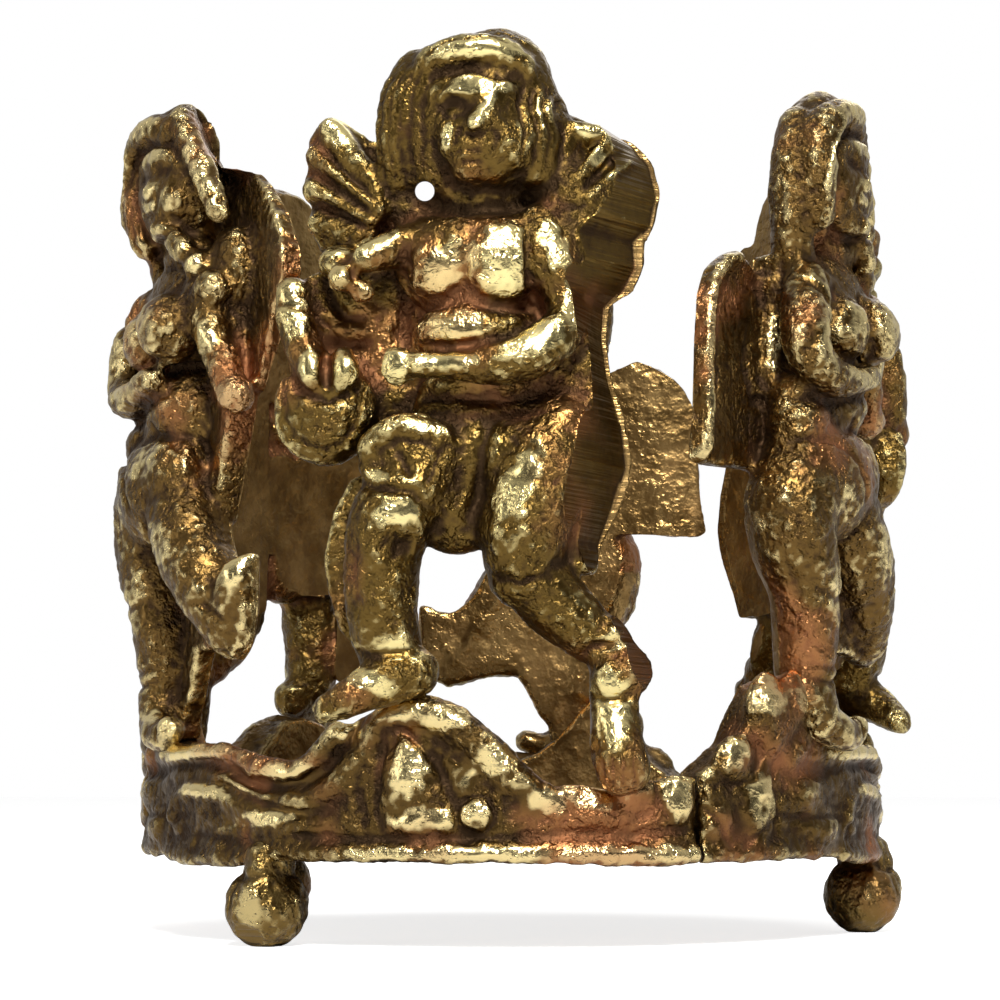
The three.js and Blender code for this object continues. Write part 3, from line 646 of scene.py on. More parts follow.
PIPER_SHAPES = """
# head and hood
mass 0 3.5 61.8 5 3.6 6.5
mass 1 2.8 55.4 3 2.6 2.6
limb: -3.8 3.4 64.6 1.8, -4.8 3.5 62.4 1.9, -5 3.3 59 1.95, -4.6 3.1 55.6 1.8, -3.8 2.8 52.8 1.6
limb: -4.2 5.3 57.2 1.4, -4.6 5.6 60 1.6, -4.7 5.5 62.6 1.65, -3.4 6 65 1.5, 0 6 65.9 1.35,
 2.8 4.9 65.3 1.1
# worn face
mass 0.5 4 60.2 3.7 3.1 4.3
mass 1 5.1 63.2 2.6 1.5 1.5
mass -1.1 5.3 59.6 1.7 1.5 1.9
mass 2.7 5 59.5 1.7 1.5 1.8
limb: 1 5.9 62.4 0.6, 1 6.3 61.4 0.65, 1 6.6 60.5 0.75
mass 0.8 5.9 58.4 1.3 0.9 0.8
mass 0.8 5.3 57.1 1.5 1.2 1.1
# plaited lock beside the face
plait: 3 4.9 66.2 0.95, 4.3 4.5 64.2 1, 5.8 4 61.6 1.1, 7.2 3.5 59 1.1, 7.9 3.2 57.5 0.9
# wings
slab -1.6 1: -2 37, -14.8 36.3, -16 36.6, -15.5 40, -15.2 46, -14.8 49.4, -13.4 51.6, -11.2 53, -9.4 53.8,
 -7 52.8, -4.6 51.8, -2 51
limb: -9.4 1 53.2 0.5, -11.6 1 52.4 0.6, -13.8 1 50.2 0.65, -14.6 1 46 0.65, -14.8 1 41 0.65,
 -15.2 1 37.4 0.6
slab -1.6 0.6: 2 62.6, 4.2 63.2, 7.4 61.8, 10.6 59.4, 13.2 56.6, 14.8 53.6, 15 51.6, 12.6 47.6, 9.6 43,
 2 43
mass 6 1.6 52.8 3.2 1.8 4.2 20
# trunk
mass 0.2 2.6 50.2 5.9 3.6 5.2
mass -1.5 5.4 48.2 2.7 2.5 2.8
mass 3.3 5.6 48.6 2.8 2.7 2.9
mass -0.8 2.6 42.2 5.3 3.4 4.8
mass 0.4 3.8 42.6 3.4 2.6 3
mass -1.9 3.9 36 5.8 3.8 4.9
mass -5.4 3.8 40 2.6 2.4 4.4
mass 1.5 4.1 36.8 3.4 2.9 3.7
slab -1.6 2.4: -5 34, 5 33, 8.6 42, 7.4 54, -6 54, -6.8 42
# arms
limb: -4.4 4.2 51.6 2, -6.8 5.3 48.4 2.1, -7.1 5.6 45.6 1.9, -4.6 6.4 43.8 1.65, -1.6 6.6 44 1.35,
 1.6 6.4 44.8 1.2
limb: 5.2 3.4 51.4 1.8, 7.2 3.5 48.2 1.65, 8.4 3 45.4 1.5, 9.4 2.5 43.2 1.4
mass 10 2.3 42.6 1.7 1.5 1.6
# short pipe, worn to lumps between the mouth and the hand
limb: 1.6 6 57.2 0.9, 3.2 5.4 56 1, 4.6 4.9 54.8 1.1
mass 5.6 4.1 53.6 1.4 1.2 1.3
mass 7.4 3.5 51.3 1.7 1.6 1.6
# legs
limb: -4.6 3.6 36.6 3.8, -5.8 3.3 34 3.9, -5.6 3.3 31 3.6, -4.4 3.5 27.8 3, -3.6 3.2 24.6 2.8,
 -3.4 3 21.4 2.6
limb: -3.6 3.1 19.2 2.4, -2.6 3.8 17.2 1.9, -0.6 4.5 16.2 1.5, 0.9 4.6 16 1.3
mass 1.9 4.5 16.5 1.3 1.2 1.2
limb: 1.6 3.4 34.6 3.5, 4.2 3.7 30.8 3.2, 7 3.1 26.9 2.6, 9 2.5 23.9 1.7
limb: 9 2.4 24.4 1.8, 10.4 2.5 26.6 1.7, 11.3 2.5 28.3 1.4
# thin web around the raised leg, well forward of the back
slab 0.9 2.6: -2 36, -3.4 20.4, -2.6 15.8, -0.9 15.8, -0.3 18, 0.6 19.2, 1.7 21.4, 2.7 22.9, 5.3 22.8,
 8.3 22.1, 9.6 21.8, 11.2 22.8, 12.3 25.4, 12.4 29.8, 11.5 29.8, 10.3 29.2, 9.1 29.2, 7.8 29.9, 6.6 31.4,
 5 35
"""
PIPER_FACE_AND_BODY = """
# face
dab -0.8 61.8 1.2 0.8 -0.5 10
dab 2.7 61.8 1.1 0.8 -0.5 -10
draw 0.3 -0.2: 0 60.2, -0.3 59.3, -0.3 58.4
draw 0.3 -0.2: 1.9 60.2, 2.1 59.3, 2.1 58.4
draw 0.26 -0.25: 0.2 59.7, 1 59.5, 1.7 59.7
draw 0.2 -0.25: -0.3 58.3, 0.8 58.45, 1.9 58.2
draw 0.45 -0.5: -3.3 61.8, -3.1 59, -2.3 57, -0.9 56, 1.2 55.7, 3.2 56.4, 4.5 58.6
# band and hair of the hood
draw 0.25 -0.22: -4.8 65.4, -3.2 66.6, -0.6 67.1, 2.6 66.9
draw 0.42 -0.6: -4.4 61.8, -3.8 63.2, -2 64, 0.6 64.4, 3 64, 4.2 62.6
draw 0.24 0.35: -3.3 64.8, -4.8 62.3, -5.5 60, -5.2 57.6
draw 0.35 -0.35: -3.4 62.2, -4 59.6, -3.9 57, -3 54.8
# body
draw 0.38 -0.6: -4 46.6, -2.2 45.4, 0.4 45.8, 1.2 47.6, 2.2 45.9, 4.4 45.8, 6 47.4
draw 0.35 -0.4: 1 51.6, 1 49.6, 1.1 48
draw 0.32 -0.4: -4.4 53.2, -4.4 50.4, -5 47.6, -4.6 45.8
draw 0.45 -0.55: -8.4 47.6, -8.8 44.8, -7.6 42.2, -4.6 41.8, -1 42.4, 2.6 43.4
draw 0.4 -0.45: 5.6 47.6, 6.8 45, 8.6 42.2
draw 0.35 -0.3: 5.6 52.6, 6.8 52.2
draw 0.35 -0.35: -2.2 39.8, 0.6 40.4, 3.4 39.8, 5 38
draw 0.4 -0.5: 0.6 33.2, -0.4 31.2, -0.8 28.8
draw 0.32 -0.35: -8.2 38.6, -5.6 38.9, -3 38, -1.6 36, -0.8 33.8
dab 0.2 41 0.4 0.4 -0.3
draw 0.3 -0.2: -6.4 27.2, -4 26.4, -1.8 27.2
"""
PIPER_FOOT_AND_WING = """
draw 0.2 -0.3: 1.3 18.4, 1.6 17.2, 1.4 15.8
draw 0.3 -0.4: 8.6 26.4, 9.9 25.4, 10.9 24.6
# panel of the left wing
draw 0.5 -0.3: -12.9 49.6, -13.4 45, -13.7 39
draw 0.5 -0.5: -7.6 51.8, -6.4 50.6, -5.6 49.2
"""
# Rubbed places, painted bright as wear and as highlights: x, z, half sizes and lean
PIPER_WEAR_HIGHLIGHTS = places("""
-0.6 66 2.6 0.8, 0.8 63.4 1.8 0.8, 1 59.6 2.2 1.3, 6 61.4 0.7 3.4 -20, -5 61 0.6 2.6, -1.5 48.6 1.5 1.4,
3.4 49 1.5 1.5, -6.6 47 1.3 2.4, -2.6 44.2 2.6 0.8, 6.6 53.2 1 0.9, 8.2 47 0.8 2.2 -24,
10.2 42.8 1.1 1.1, 0.8 38.2 2.2 1.6, -4.2 33 1.5 2.8, 4.6 30.8 1.5 2.6 -40, -3.8 27 1.3 3,
11.6 28.6 0.9 1.5 -20, -1 17.8 2.2 0.7, 2.6 17.2 0.9 0.7, -14.6 44 0.5 6
""")
# Back of the head beside the plaited lock: its slope across and back, and its limit by height
HEAD_SLOPE = (0.5, 0.866)
HEAD_FROM = (0.5, 60.0)
HEAD_HEIGHTS = (60.0, 61.6, 64.0, 66.0, 68.5)
HEAD_LIMITS = (8.0, 1.0, -0.7, -1.4, -2.4)
WING_BEND = 1.2
LEG_TOP = 33.0


def thin_head(skin):
    """Slopes the back of the head away beside the plaited lock."""
    x, y, z = skin.co.T
    across = HEAD_SLOPE[0] * x + HEAD_SLOPE[1] * (y + BACK)
    over = np.maximum(across - np.interp(z, HEAD_HEIGHTS, HEAD_LIMITS), 0.0)
    over = np.where((x > HEAD_FROM[0]) & (z > HEAD_FROM[1]), over, 0.0)
    skin.co[:, 0] -= HEAD_SLOPE[0] * over
    skin.co[:, 1] -= HEAD_SLOPE[1] * over


def carve_piper(skin):
    skin.carve(PIPER_FACE_AND_BODY)
    for lift in (0.0, 1.1):
        skin.draw([(-5.6, 20.4 + lift), (-3.4, 20.0 + lift), (-1.2, 20.6 + lift)], 0.2, -0.25)
    skin.carve(PIPER_FOOT_AND_WING)
    skin.refresh()


def piper_cherub():
    clay = Clay()
    clay.model(PIPER_SHAPES)
    skin = raw_casting(clay, FIGURE_GRID, rounds=12)
    thin_head(skin)
    skin.file_back(WING_BEND)
    skin.relax(1)
    carve_piper(skin)
    skin.relax(1)
    # rubbed spots paint wear and highlights, weaker on surfaces that face straight out
    skin.paint_wear_highlights(PIPER_WEAR_HIGHLIGHTS, sideways=0.4)
    # the legs have a plain back too, further forward
    leg_backs = (skin.normal[:, 1] > 0.5) & (skin.co[:, 2] < LEG_TOP)
    skin.marks["back"] = np.maximum(skin.marks["back"], leg_backs.astype(float))
    cast = 1.0 - FILED * skin.marks["back"]
    skin.roughen(size=1.5, height=0.15, seed=5.0, where=cast)
    skin.roughen(size=0.6, height=0.1, seed=12.0, where=cast)
    return skin.finished("piper_cherub")


# Base band, modelled as a straight strip and bent around the ring

BAND_BOTTOM = 6.4
BAND_INNER = 27.0
BAND_FACE = 31.3
LEDGE_INNER = 24.4
LEDGE_TOP = 8.0
SECTION_SPAN = 120.0
SEAM = 0.15
# Grooves are cut a little wider and shallower than their rows say
CUT_WIDTH = 1.15
CUT_DEPTH = 0.7

# Top of the band: angle and height
GROUND = places("""
-90 13.4, -86 14.8, -83 15.8, -80.5 18, -77 20.4, -73 21, -70 19.6, -66 17.4, -62 15.9, -58 15,
-52 14.3, -46 14, -40 13.9, -34 14, -28 14.8, -22 16.6, -16 18.3, -11 19, -6 18.6, -2 17, 2 15, 6 13.4,
10 12.3, 15 12, 21 12.2, 26 12.6, 30 13.4
""")
BAND_FORMS = """
# upper leaf, the groove under it is carved later
ridge -0.7: -63 14.6 0.8, -56 14.7 0.75, -49 14.7 0.75, -43 14.6 0.8, -39 14.1 0.85, -34.5 13.5 0.9,
 -29 13.2 0.95, -25.5 14.2 0.95, -22 16 0.9
# long scroll that starts in a curl, and the wave above it
ridge -0.6: -55.5 8.4 0.6, -57.6 9.6 0.75, -56.6 11 0.8, -53 11.6 0.8, -47.5 11.7 0.85, -42 11.1 0.85,
 -36.4 10 0.85, -31 9.2 0.8, -25 8.8 0.7
ridge -0.6: -45 13.1 0.6, -41.6 12.8 0.7, -34.8 11.3 0.75, -27.6 11 0.8, -22.4 11.9 0.85, -19 13.7 0.9,
 -16.6 15.6 0.9, -14.6 17 0.9
# mound with its round boss
ridge -0.8: -18 14.8 0.9, -16 16.5 1, -12.8 17.4 1.15, -9 17.5 1.3, -4.8 16.6 1.45, -1 14.9 1.5,
 3.4 12.7 1.4, 8 10.8 1.1
rock -11.2 12.6 0.7 2.3 1.3 3.6 12
rock -9 9.6 0.7 3.4 1.1 1.6
rock -1.8 9.9 0.5 1.35 0.8 1.4
# rocks
rock 13 10.4 0.7 3.4 1.1 1.7 8
rock 20.5 11.2 0.7 2.4 1 1.4 -10
rock 26 10.8 0.7 1.9 1 2.2 18
rock -84 14 0.7 1.7 1.2 2.1 34
rock -77 17.4 0.7 2.4 1.3 3.4 -8
rock -72 18.6 0.7 1.9 1.2 2.6 12
rock -87 9.8 0.7 1.6 1 2.4 -14
rock -80 10.6 0.7 2.3 1.1 2.9 10
rock -70 11.6 0.7 2.4 1.2 1.9 8
rock -66 9 0.7 3 1.1 1.9 4
rock -72 14.2 0.7 1.8 1 1.6 -20
# lower lip
ridge -0.45: -34 6.9 0.5, -26 7 0.6, -15 7.1 0.65, -4 7.1 0.7, 8 7.1 0.7, 17 7 0.85, 25 6.9 0.85,
 29.6 7 0.7
ridge -0.5: -59 6.7 0.6, -50 6.5 0.7, -42 6.5 0.7, -35 6.8 0.6
ridge -0.45: -89.6 7 0.7, -84 7.1 0.75, -76 7.1 0.7, -66 7 0.6
"""
BAND_CUTS_LEFT = """
cut 0.35 -0.75: -59.3 13.5, -54 13.7, -48.4 13.8, -41.6 13.4, -37.5 12.4, -32.3 12, -27.6 12.2,
 -23.4 13.3, -20.4 15.2, -18.4 16.8
cut 0.28 -0.4: -50 12.6, -43 12.2, -37 11.2, -31 10.3, -24 10, -20 11
cut 0.25 -0.3: -58.4 8, -57.4 9, -54.4 9.8, -51.4 9.8
cut 0.25 -0.25: -56.6 8.1, -47 8.3, -36.3 7.8
cut 0.32 -0.65: -14.4 16, -12 16.2, -10.1 15.5, -7.1 13.9, -5.3 11.9, -4.3 9.8
cut 0.32 -0.55: -14.4 16, -15.4 13.5, -15.8 10.5, -14.6 8.6
cut 0.35 -0.3: -18.6 12.4, -17.6 10.2, -17.4 8.6
"""
BAND_CUTS_RIGHT = """
cut 0.32 -0.5 0.05: -30 8.3, -20 8.2, -10 8.2, 0 8.3, 10 8.5, 20 8.5, 29.6 8.9
cut 0.3 -0.3: 9 12.4, 11 10.6, 10 9
cut 0.3 -0.3: 17 12.4, 17.6 10.8, 16 9.4
cut 0.28 -0.35: 23 12.6, 23.4 11, 25.4 9.2
# cracks between the rocks of the next section
cut 0.2 -0.35: -89.8 12.4, -90.2 10.7, -88 9.7, -84.3 6.9
cut 0.2 -0.35: -84.3 6.9, -80 8.6, -76.4 9.6
cut 0.2 -0.4: -76.2 14, -77.4 12.4, -76.3 10.1, -77 8.3
cut 0.2 -0.4: -88 13.6, -85 12, -81 12.6, -79.2 14.6, -81 16.2
cut 0.28 0.35: -70.4 19.7, -67.5 17.6, -64 15.4
cut 0.55 -0.7: -74 13.2, -70 13.5, -64 13.1, -60 13.3
cut 0.25 -0.35: -76 9.8, -70 9.6, -64 9.9, -59 9.4
# hairline where two sections are soldered
cut 0.2 -0.2: 29.4 13, 29.2 10.4, 29.6 7.2
"""
# Rubbed places, painted bright as wear and as highlights: angle, height, half sizes and lean
BASE_WEAR_HIGHLIGHTS = places("""
-52 14.6 6 0.8, -46 11.8 5 0.7, -34 9.6 5 0.6 -8, -29 12.9 4 0.8, -20 16.2 1.6 1 30, -12 17.8 2.4 1,
-6 17 3 1 -26, 1 14 3.2 1 -28, -11 13.4 1.4 2.6, -9 9.8 3 0.9, -1.8 10.4 0.9 0.8, 9 11 2.4 1 -10,
14 11.2 2.4 0.9 8, -5 7.2 8 0.5, 20 7.2 6 0.7, -77 19 1.8 1.6, -71 19.2 1.4 1.4, -84 14.8 1.2 1.4 30,
-80 11.4 1.4 1.8, 26 11.4 1.2 1.6
""")


def strip(angle):
    """Place along the unrolled band of an angle of the first section."""
    return math.radians(angle - SECTION_ANGLES[0]) * BAND_FACE


def model_band(clay):
    """Lays ridges and rocks on the face of the band, given by angle and height."""
    face = BAND_FACE - BACK
    for word, sizes, points in rows(BAND_FORMS):
        if word == "ridge":
            clay.limb([(strip(angle), face + sizes[0], z, radius) for angle, z, radius in points])
        elif word == "rock":
            angle, z, sunk, *oval = sizes
            clay.mass(strip(angle), face - sunk, z, *oval)


def carve_band(skin, text):
    for word, (width, height, *taper), points in rows(text):
        line = [(strip(angle), z) for angle, z in points]
        skin.draw(line, width * CUT_WIDTH, height * CUT_DEPTH, *taper)


def band_body(clay, end):
    """Plain wall of the band with the ledge inside it."""
    ground = [(strip(a), z - 0.5) for a, z in GROUND[1:-1]]
    outline = [(-end, BAND_BOTTOM + 0.2), (-end, GROUND[0][1] - 0.5)] + ground
    outline += [(end, GROUND[-1][1] - 0.5), (end, BAND_BOTTOM + 0.2)]
    clay.slab(outline, BAND_INNER - BACK + 0.2, BAND_FACE - BACK - 0.3)
    ledge = [(-end, BAND_BOTTOM), (-end, LEDGE_TOP), (end, LEDGE_TOP), (end, BAND_BOTTOM)]
    clay.slab(ledge, LEDGE_INNER - BACK, 1.0)


def bend(skin):
    """Bends the strip around the ring."""
    radius = -skin.co[:, 1]
    angle = skin.co[:, 0] / BAND_FACE
    skin.co[:, 0] = radius * np.sin(angle)
    skin.co[:, 1] = -radius * np.cos(angle)


def base_section():
    end = math.radians(SECTION_SPAN / 2) * BAND_FACE - SEAM
    clay = Clay()
    band_body(clay, end)
    model_band(clay)
    skin = raw_casting(clay, BASE_GRID, rounds=12)
    carve_band(skin, BAND_CUTS_LEFT)
    boss = curl(strip(-1.8), 0, 9.9, 1.45, 1.5, 0, 360, 1, 17)
    skin.draw([(x, z) for x, v, z, radius in boss], 0.22, -0.35, 0)
    carve_band(skin, BAND_CUTS_RIGHT)
    skin.refresh()
    skin.relax(1)
    inside = np.clip(skin.normal[:, 1] * 1.5, 0.0, 1.0)
    skin.paint_wear_highlights([(strip(angle), *oval) for angle, *oval in BASE_WEAR_HIGHLIGHTS])
    skin.roughen(size=1.6, height=0.2, seed=21.0, where=1.0 - 0.7 * inside)
    skin.roughen(size=0.6, height=0.09, seed=4.0, where=1.0 - 0.7 * inside)
    skin.co[:, 0] = np.clip(skin.co[:, 0], -end, end)
    skin.co[:, 2] = np.maximum(skin.co[:, 2], BAND_BOTTOM - 0.5)
    bend(skin)
    skin.marks["back"] = inside
    return skin.finished("base_section")


# Ball foot and candle pan

FOOT_RADIUS = 3.2
FOOT_CENTRE = 2.9
FOOT_RING = 29.6
FACET_WAY = (0.12, -0.72, -0.69)
FACET_DEPTH = 0.9


def ball_foot():
    """Ball under a short neck, its strap folded over the front and a flat filed underneath."""
    clay = Clay()
    out = FOOT_RING - BACK
    clay.mass(0, out, FOOT_CENTRE + 0.1, FOOT_RADIUS, FOOT_RADIUS, FOOT_RADIUS)
    clay.limb([(0.2, out, 3.4, 2.3), (0.2, out, 5.2, 2.0), (0.2, out, 6.3, 2.1)])
    clay.limb([(0.7, out + 1.0, 6.8, 1.3), (0.9, out + 1.5, 5.4, 1.3), (0.8, out + 1.9, 3.6, 1.5)])
    skin = Skin(clay.fused(FOOT_GRID))
    skin.relax(4)
    skin.draw([(-1.2, 6.6), (-0.9, 5.2), (-1.0, 3.6), (-0.8, 2.6)], 0.35, -0.25)
    skin.draw([(-2.6, 5.4), (-0.6, 5.2), (2.2, 5.3)], 0.3, -0.25)
    skin.refresh()
    # filed facet low on the front
    way = np.array(FACET_WAY)
    way /= np.linalg.norm(way)
    middle = np.array(spot(0, out, FOOT_CENTRE))
    over = (skin.co - middle) @ way - FOOT_RADIUS * FACET_DEPTH
    skin.co -= np.maximum(over, 0.0)[:, None] * way
    skin.marks["sawn"] = np.clip(over / 0.05, 0.0, 1.0)
    skin.refresh()
    skin.roughen(size=0.8, height=0.12, seed=6.0, where=1.0 - skin.marks["sawn"])
    skin.co[:, 2] = np.maximum(skin.co[:, 2], 0.0)
    # rubbed spot on the front of the ball, painted bright as wear and as highlight
    skin.paint_wear_highlights([(1.0, 3.0, 1.2, 1.4, 0)])
    return skin.finished("ball_foot")


def candle_pan():
    """Thin turned dish with a rolled rim."""
    low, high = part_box("candle_pan")
    radius = (high.x - low.x) / 2 / MM
    bottom = low.z / MM
    top = high.z / MM
    sheet = 1.0
    profile = [
        (0, bottom), (radius - 1.6, bottom), (radius - 0.5, bottom + 0.35), (radius - 0.05, bottom + 1.1),
        (radius - 0.15, top - 0.35), (radius - 0.45, top - 0.05), (radius - 0.8, top - 0.1),
        (radius - 1.05, top - 0.5), (radius - 1.1, bottom + 1.7), (radius - 1.7, bottom + sheet + 0.1),
        (radius - 9.0, bottom + sheet), (radius - 9.4, bottom + sheet + 0.14),
        (radius - 9.8, bottom + sheet), (0, bottom + sheet)]
    bm = bmesh.new()
    rim = [bm.verts.new((x, 0.0, z)) for x, z in profile]
    edges = [bm.edges.new(pair) for pair in zip(rim, rim[1:])]
    bmesh.ops.spin(bm, geom=rim + edges, cent=(0, 0, 0), axis=(0, 0, 1), angle=math.tau, steps=96,
                   use_merge=True)
    bmesh.ops.remove_doubles(bm, verts=bm.verts, dist=1e-4)
    bmesh.ops.recalc_face_normals(bm, faces=bm.faces)
    edges = [e for e in bm.edges if e.calc_length() > 3.0 and abs(e.verts[0].co.z - e.verts[1].co.z) < 0.3]
    bmesh.ops.subdivide_edges(bm, edges=edges, cuts=6, use_grid_fill=True)
    mesh = mesh_of(bm, "candle_pan")
    mesh.polygons.foreach_set("use_smooth", [True] * len(mesh.polygons))
    return mesh


# Materials

# Scales of the patterns on the brass, per metre
GRAIN_SCALE = 3200.0
PATCH_SCALE = 260.0
DRIFT_SCALE = 170.0
SPECK_SCALE = 1900.0
BLUSH_SCALE = 85.0
STREAK_SCALE = 300.0
STROKE_SCALE = 520.0
SAW_LINES = (60.0, 60.0, 2400.0)
RELIEF_STRENGTH = 0.9
RELIEF_DEPTH = 0.0004
BACK_BROWN = (0.2, 0.118, 0.038, 1)
BACK_TAN = (0.42, 0.27, 0.1, 1)
FLOOR_GREY = (0.93, 0.93, 0.93, 1)
FLOOR_GLOW = 0.78
VALUE = "NodeSocketFloat"
COLOUR = "NodeSocketColor"
POINT = ("Point", "NodeSocketVector", (0, 0, 0))


def new_group(name, inputs, outputs):
    """Empty node group with named sockets, its given values and its results."""
    group = bpy.data.node_groups.new(name, "ShaderNodeTree")
    for label, kind, value in inputs:
        group.interface.new_socket(label, in_out="INPUT", socket_type=kind).default_value = value
    for label, kind in outputs:
        group.interface.new_socket(label, in_out="OUTPUT", socket_type=kind)
    given = group.nodes.new("NodeGroupInput")
    return group, given.outputs, group.nodes.new("NodeGroupOutput").inputs


class Wires:
    """Short ways to add and join shader nodes in one tree."""

    def __init__(self, tree):
        self.tree = tree

    def feed(self, sockets, values):
        """Joins each socket to an output, or sets it to a plain value."""
        for key, value in values.items():
            if hasattr(value, "is_output"):
                self.tree.links.new(value, sockets[key])
            else:
                sockets[key].default_value = value

    def node(self, kind, values=(), **settings):
        """Outputs of a new node with its inputs fed."""
        node = self.tree.nodes.new(kind)
        for key, value in settings.items():
            setattr(node, key, value)
        self.feed(node.inputs, dict(values))
        return node.outputs

    def math(self, operation, first, second):
        return self.node("ShaderNodeMath", {0: first, 1: second}, operation=operation)[0]

    def times(self, first, second):
        return self.math("MULTIPLY", first, second)

    def plus(self, first, second):
        return self.math("ADD", first, second)

    def minus(self, first, second):
        return self.math("SUBTRACT", first, second)

    def most(self, first, second):
        return self.math("MAXIMUM", first, second)

    def mix(self, share, first, second):
        mixed = {"Factor": share, "A": first, "B": second}
        return self.node("ShaderNodeMix", mixed, data_type="RGBA")["Result"]

    def noise(self, point, scale, detail=3.0, rough=0.55):
        pattern = {"Vector": point, "Scale": scale, "Detail": detail, "Roughness": rough}
        return self.node("ShaderNodeTexNoise", pattern)["Fac"]

    def step(self, value, low, high, start=0.0, stop=1.0):
        span = {"Value": value, "From Min": low, "From Max": high, "To Min": start, "To Max": stop}
        return self.node("ShaderNodeMapRange", span, interpolation_type="SMOOTHSTEP")["Result"]

    def mark(self, name):
        return self.node("ShaderNodeAttribute", attribute_name=name)["Fac"]


def cast_grain_group():
    """Pitted skin left by the casting sand, as a height."""
    group, given, result = new_group(
        "cast_grain",
        [POINT, ("Grain Size", VALUE, 3600.0), ("Smoothed", VALUE, 0.0)],
        [("Height", VALUE), ("Pits", VALUE)],
    )
    w = Wires(group)
    coarse = w.noise(given["Point"], w.times(given["Grain Size"], 0.45), 2.0)
    fine = w.noise(given["Point"], given["Grain Size"], 4.0, 0.6)
    pits = w.step(coarse, 0.36, 0.5, 1.0, 0.0)
    height = w.plus(w.times(fine, 0.45), w.times(coarse, 0.75))
    height = w.minus(height, w.times(pits, 0.3))
    patch = w.step(w.noise(given["Point"], PATCH_SCALE, 3.0), 0.4, 0.62, 0.25, 1.0)
    left = w.times(patch, w.minus(1.0, given["Smoothed"]))
    w.feed(result, {"Height": w.times(height, left), "Pits": w.times(pits, left)})
    return group


def patina_wear_and_light_group():
    """Bright metal where rubbed and as painted highlights on the high places, brown patina in the fine
    hollows and painted shade in the broad ones.
    """
    group, given, result = new_group(
        "patina_wear_and_painted_light",
        [POINT, ("Hollow", VALUE, 0.0), ("Shade", VALUE, 0.0), ("Pits", VALUE, 0.0), ("Wear", VALUE, 0.5),
         ("Wear Highlight", VALUE, 0.0), ("Rubbed Highlight Tone", COLOUR, (0.9, 0.7, 0.3, 1)),
         ("Metal", COLOUR, (0.6, 0.4, 0.1, 1)), ("Patina Shade Tone", COLOUR, (0.1, 0.06, 0.02, 1))],
        [("Color", COLOUR), ("Roughness", VALUE), ("Patina And Shade", VALUE)],
    )
    w = Wires(group)
    point = given["Point"]
    drift = w.times(w.minus(w.noise(point, DRIFT_SCALE, 4.0), 0.5), 1.3)
    speck = w.times(w.minus(w.noise(point, SPECK_SCALE, 3.0), 0.5), 0.8)
    # Shade is the broad hollow mark, painted as shade in low places and as highlight on bulges
    depth = w.plus(w.times(given["Hollow"], 0.4), w.times(given["Shade"], 0.55))
    depth = w.plus(w.plus(depth, drift), speck)
    depth = w.plus(depth, w.times(given["Pits"], 0.35))
    depth = w.minus(depth, w.minus(given["Wear"], 0.5))
    # rubbed spots turn bright as wear and as a painted highlight
    depth = w.minus(depth, w.times(given["Wear Highlight"], 1.05))
    patina_and_shade = w.step(depth, 0.0, 1.0)
    worn_and_highlit = w.step(depth, -0.15, -1.0)
    base = w.mix(patina_and_shade, given["Metal"], given["Patina Shade Tone"])
    rough = w.plus(w.times(patina_and_shade, 0.28), 0.28)
    w.feed(result, {
        "Color": w.mix(worn_and_highlit, base, given["Rubbed Highlight Tone"]),
        "Roughness": w.minus(rough, w.times(worn_and_highlit, 0.05)),
        "Patina And Shade": patina_and_shade,
    })
    return group


def copper_blush_group():
    """Reddish bloom of copper in patches over a colour."""
    group, given, result = new_group(
        "copper_blush",
        [POINT, ("Color", COLOUR, (1, 1, 1, 1)), ("Blush", COLOUR, (0.5, 0.2, 0.08, 1)),
         ("Amount", VALUE, 0.4)],
        [("Color", COLOUR)],
    )
    w = Wires(group)
    share = w.times(w.step(w.noise(given["Point"], BLUSH_SCALE, 3.0), 0.5, 0.66), given["Amount"])
    w.feed(result, {"Color": w.mix(share, given["Color"], given["Blush"])})
    return group


GRAIN = cast_grain_group()
PATINA_WEAR_LIGHT = patina_wear_and_light_group()
BLUSH = copper_blush_group()


def new_material(name):
    material = bpy.data.materials.new(name)
    material.use_nodes = True
    tree = material.node_tree
    return material, Wires(tree), tree.nodes["Principled BSDF"].inputs


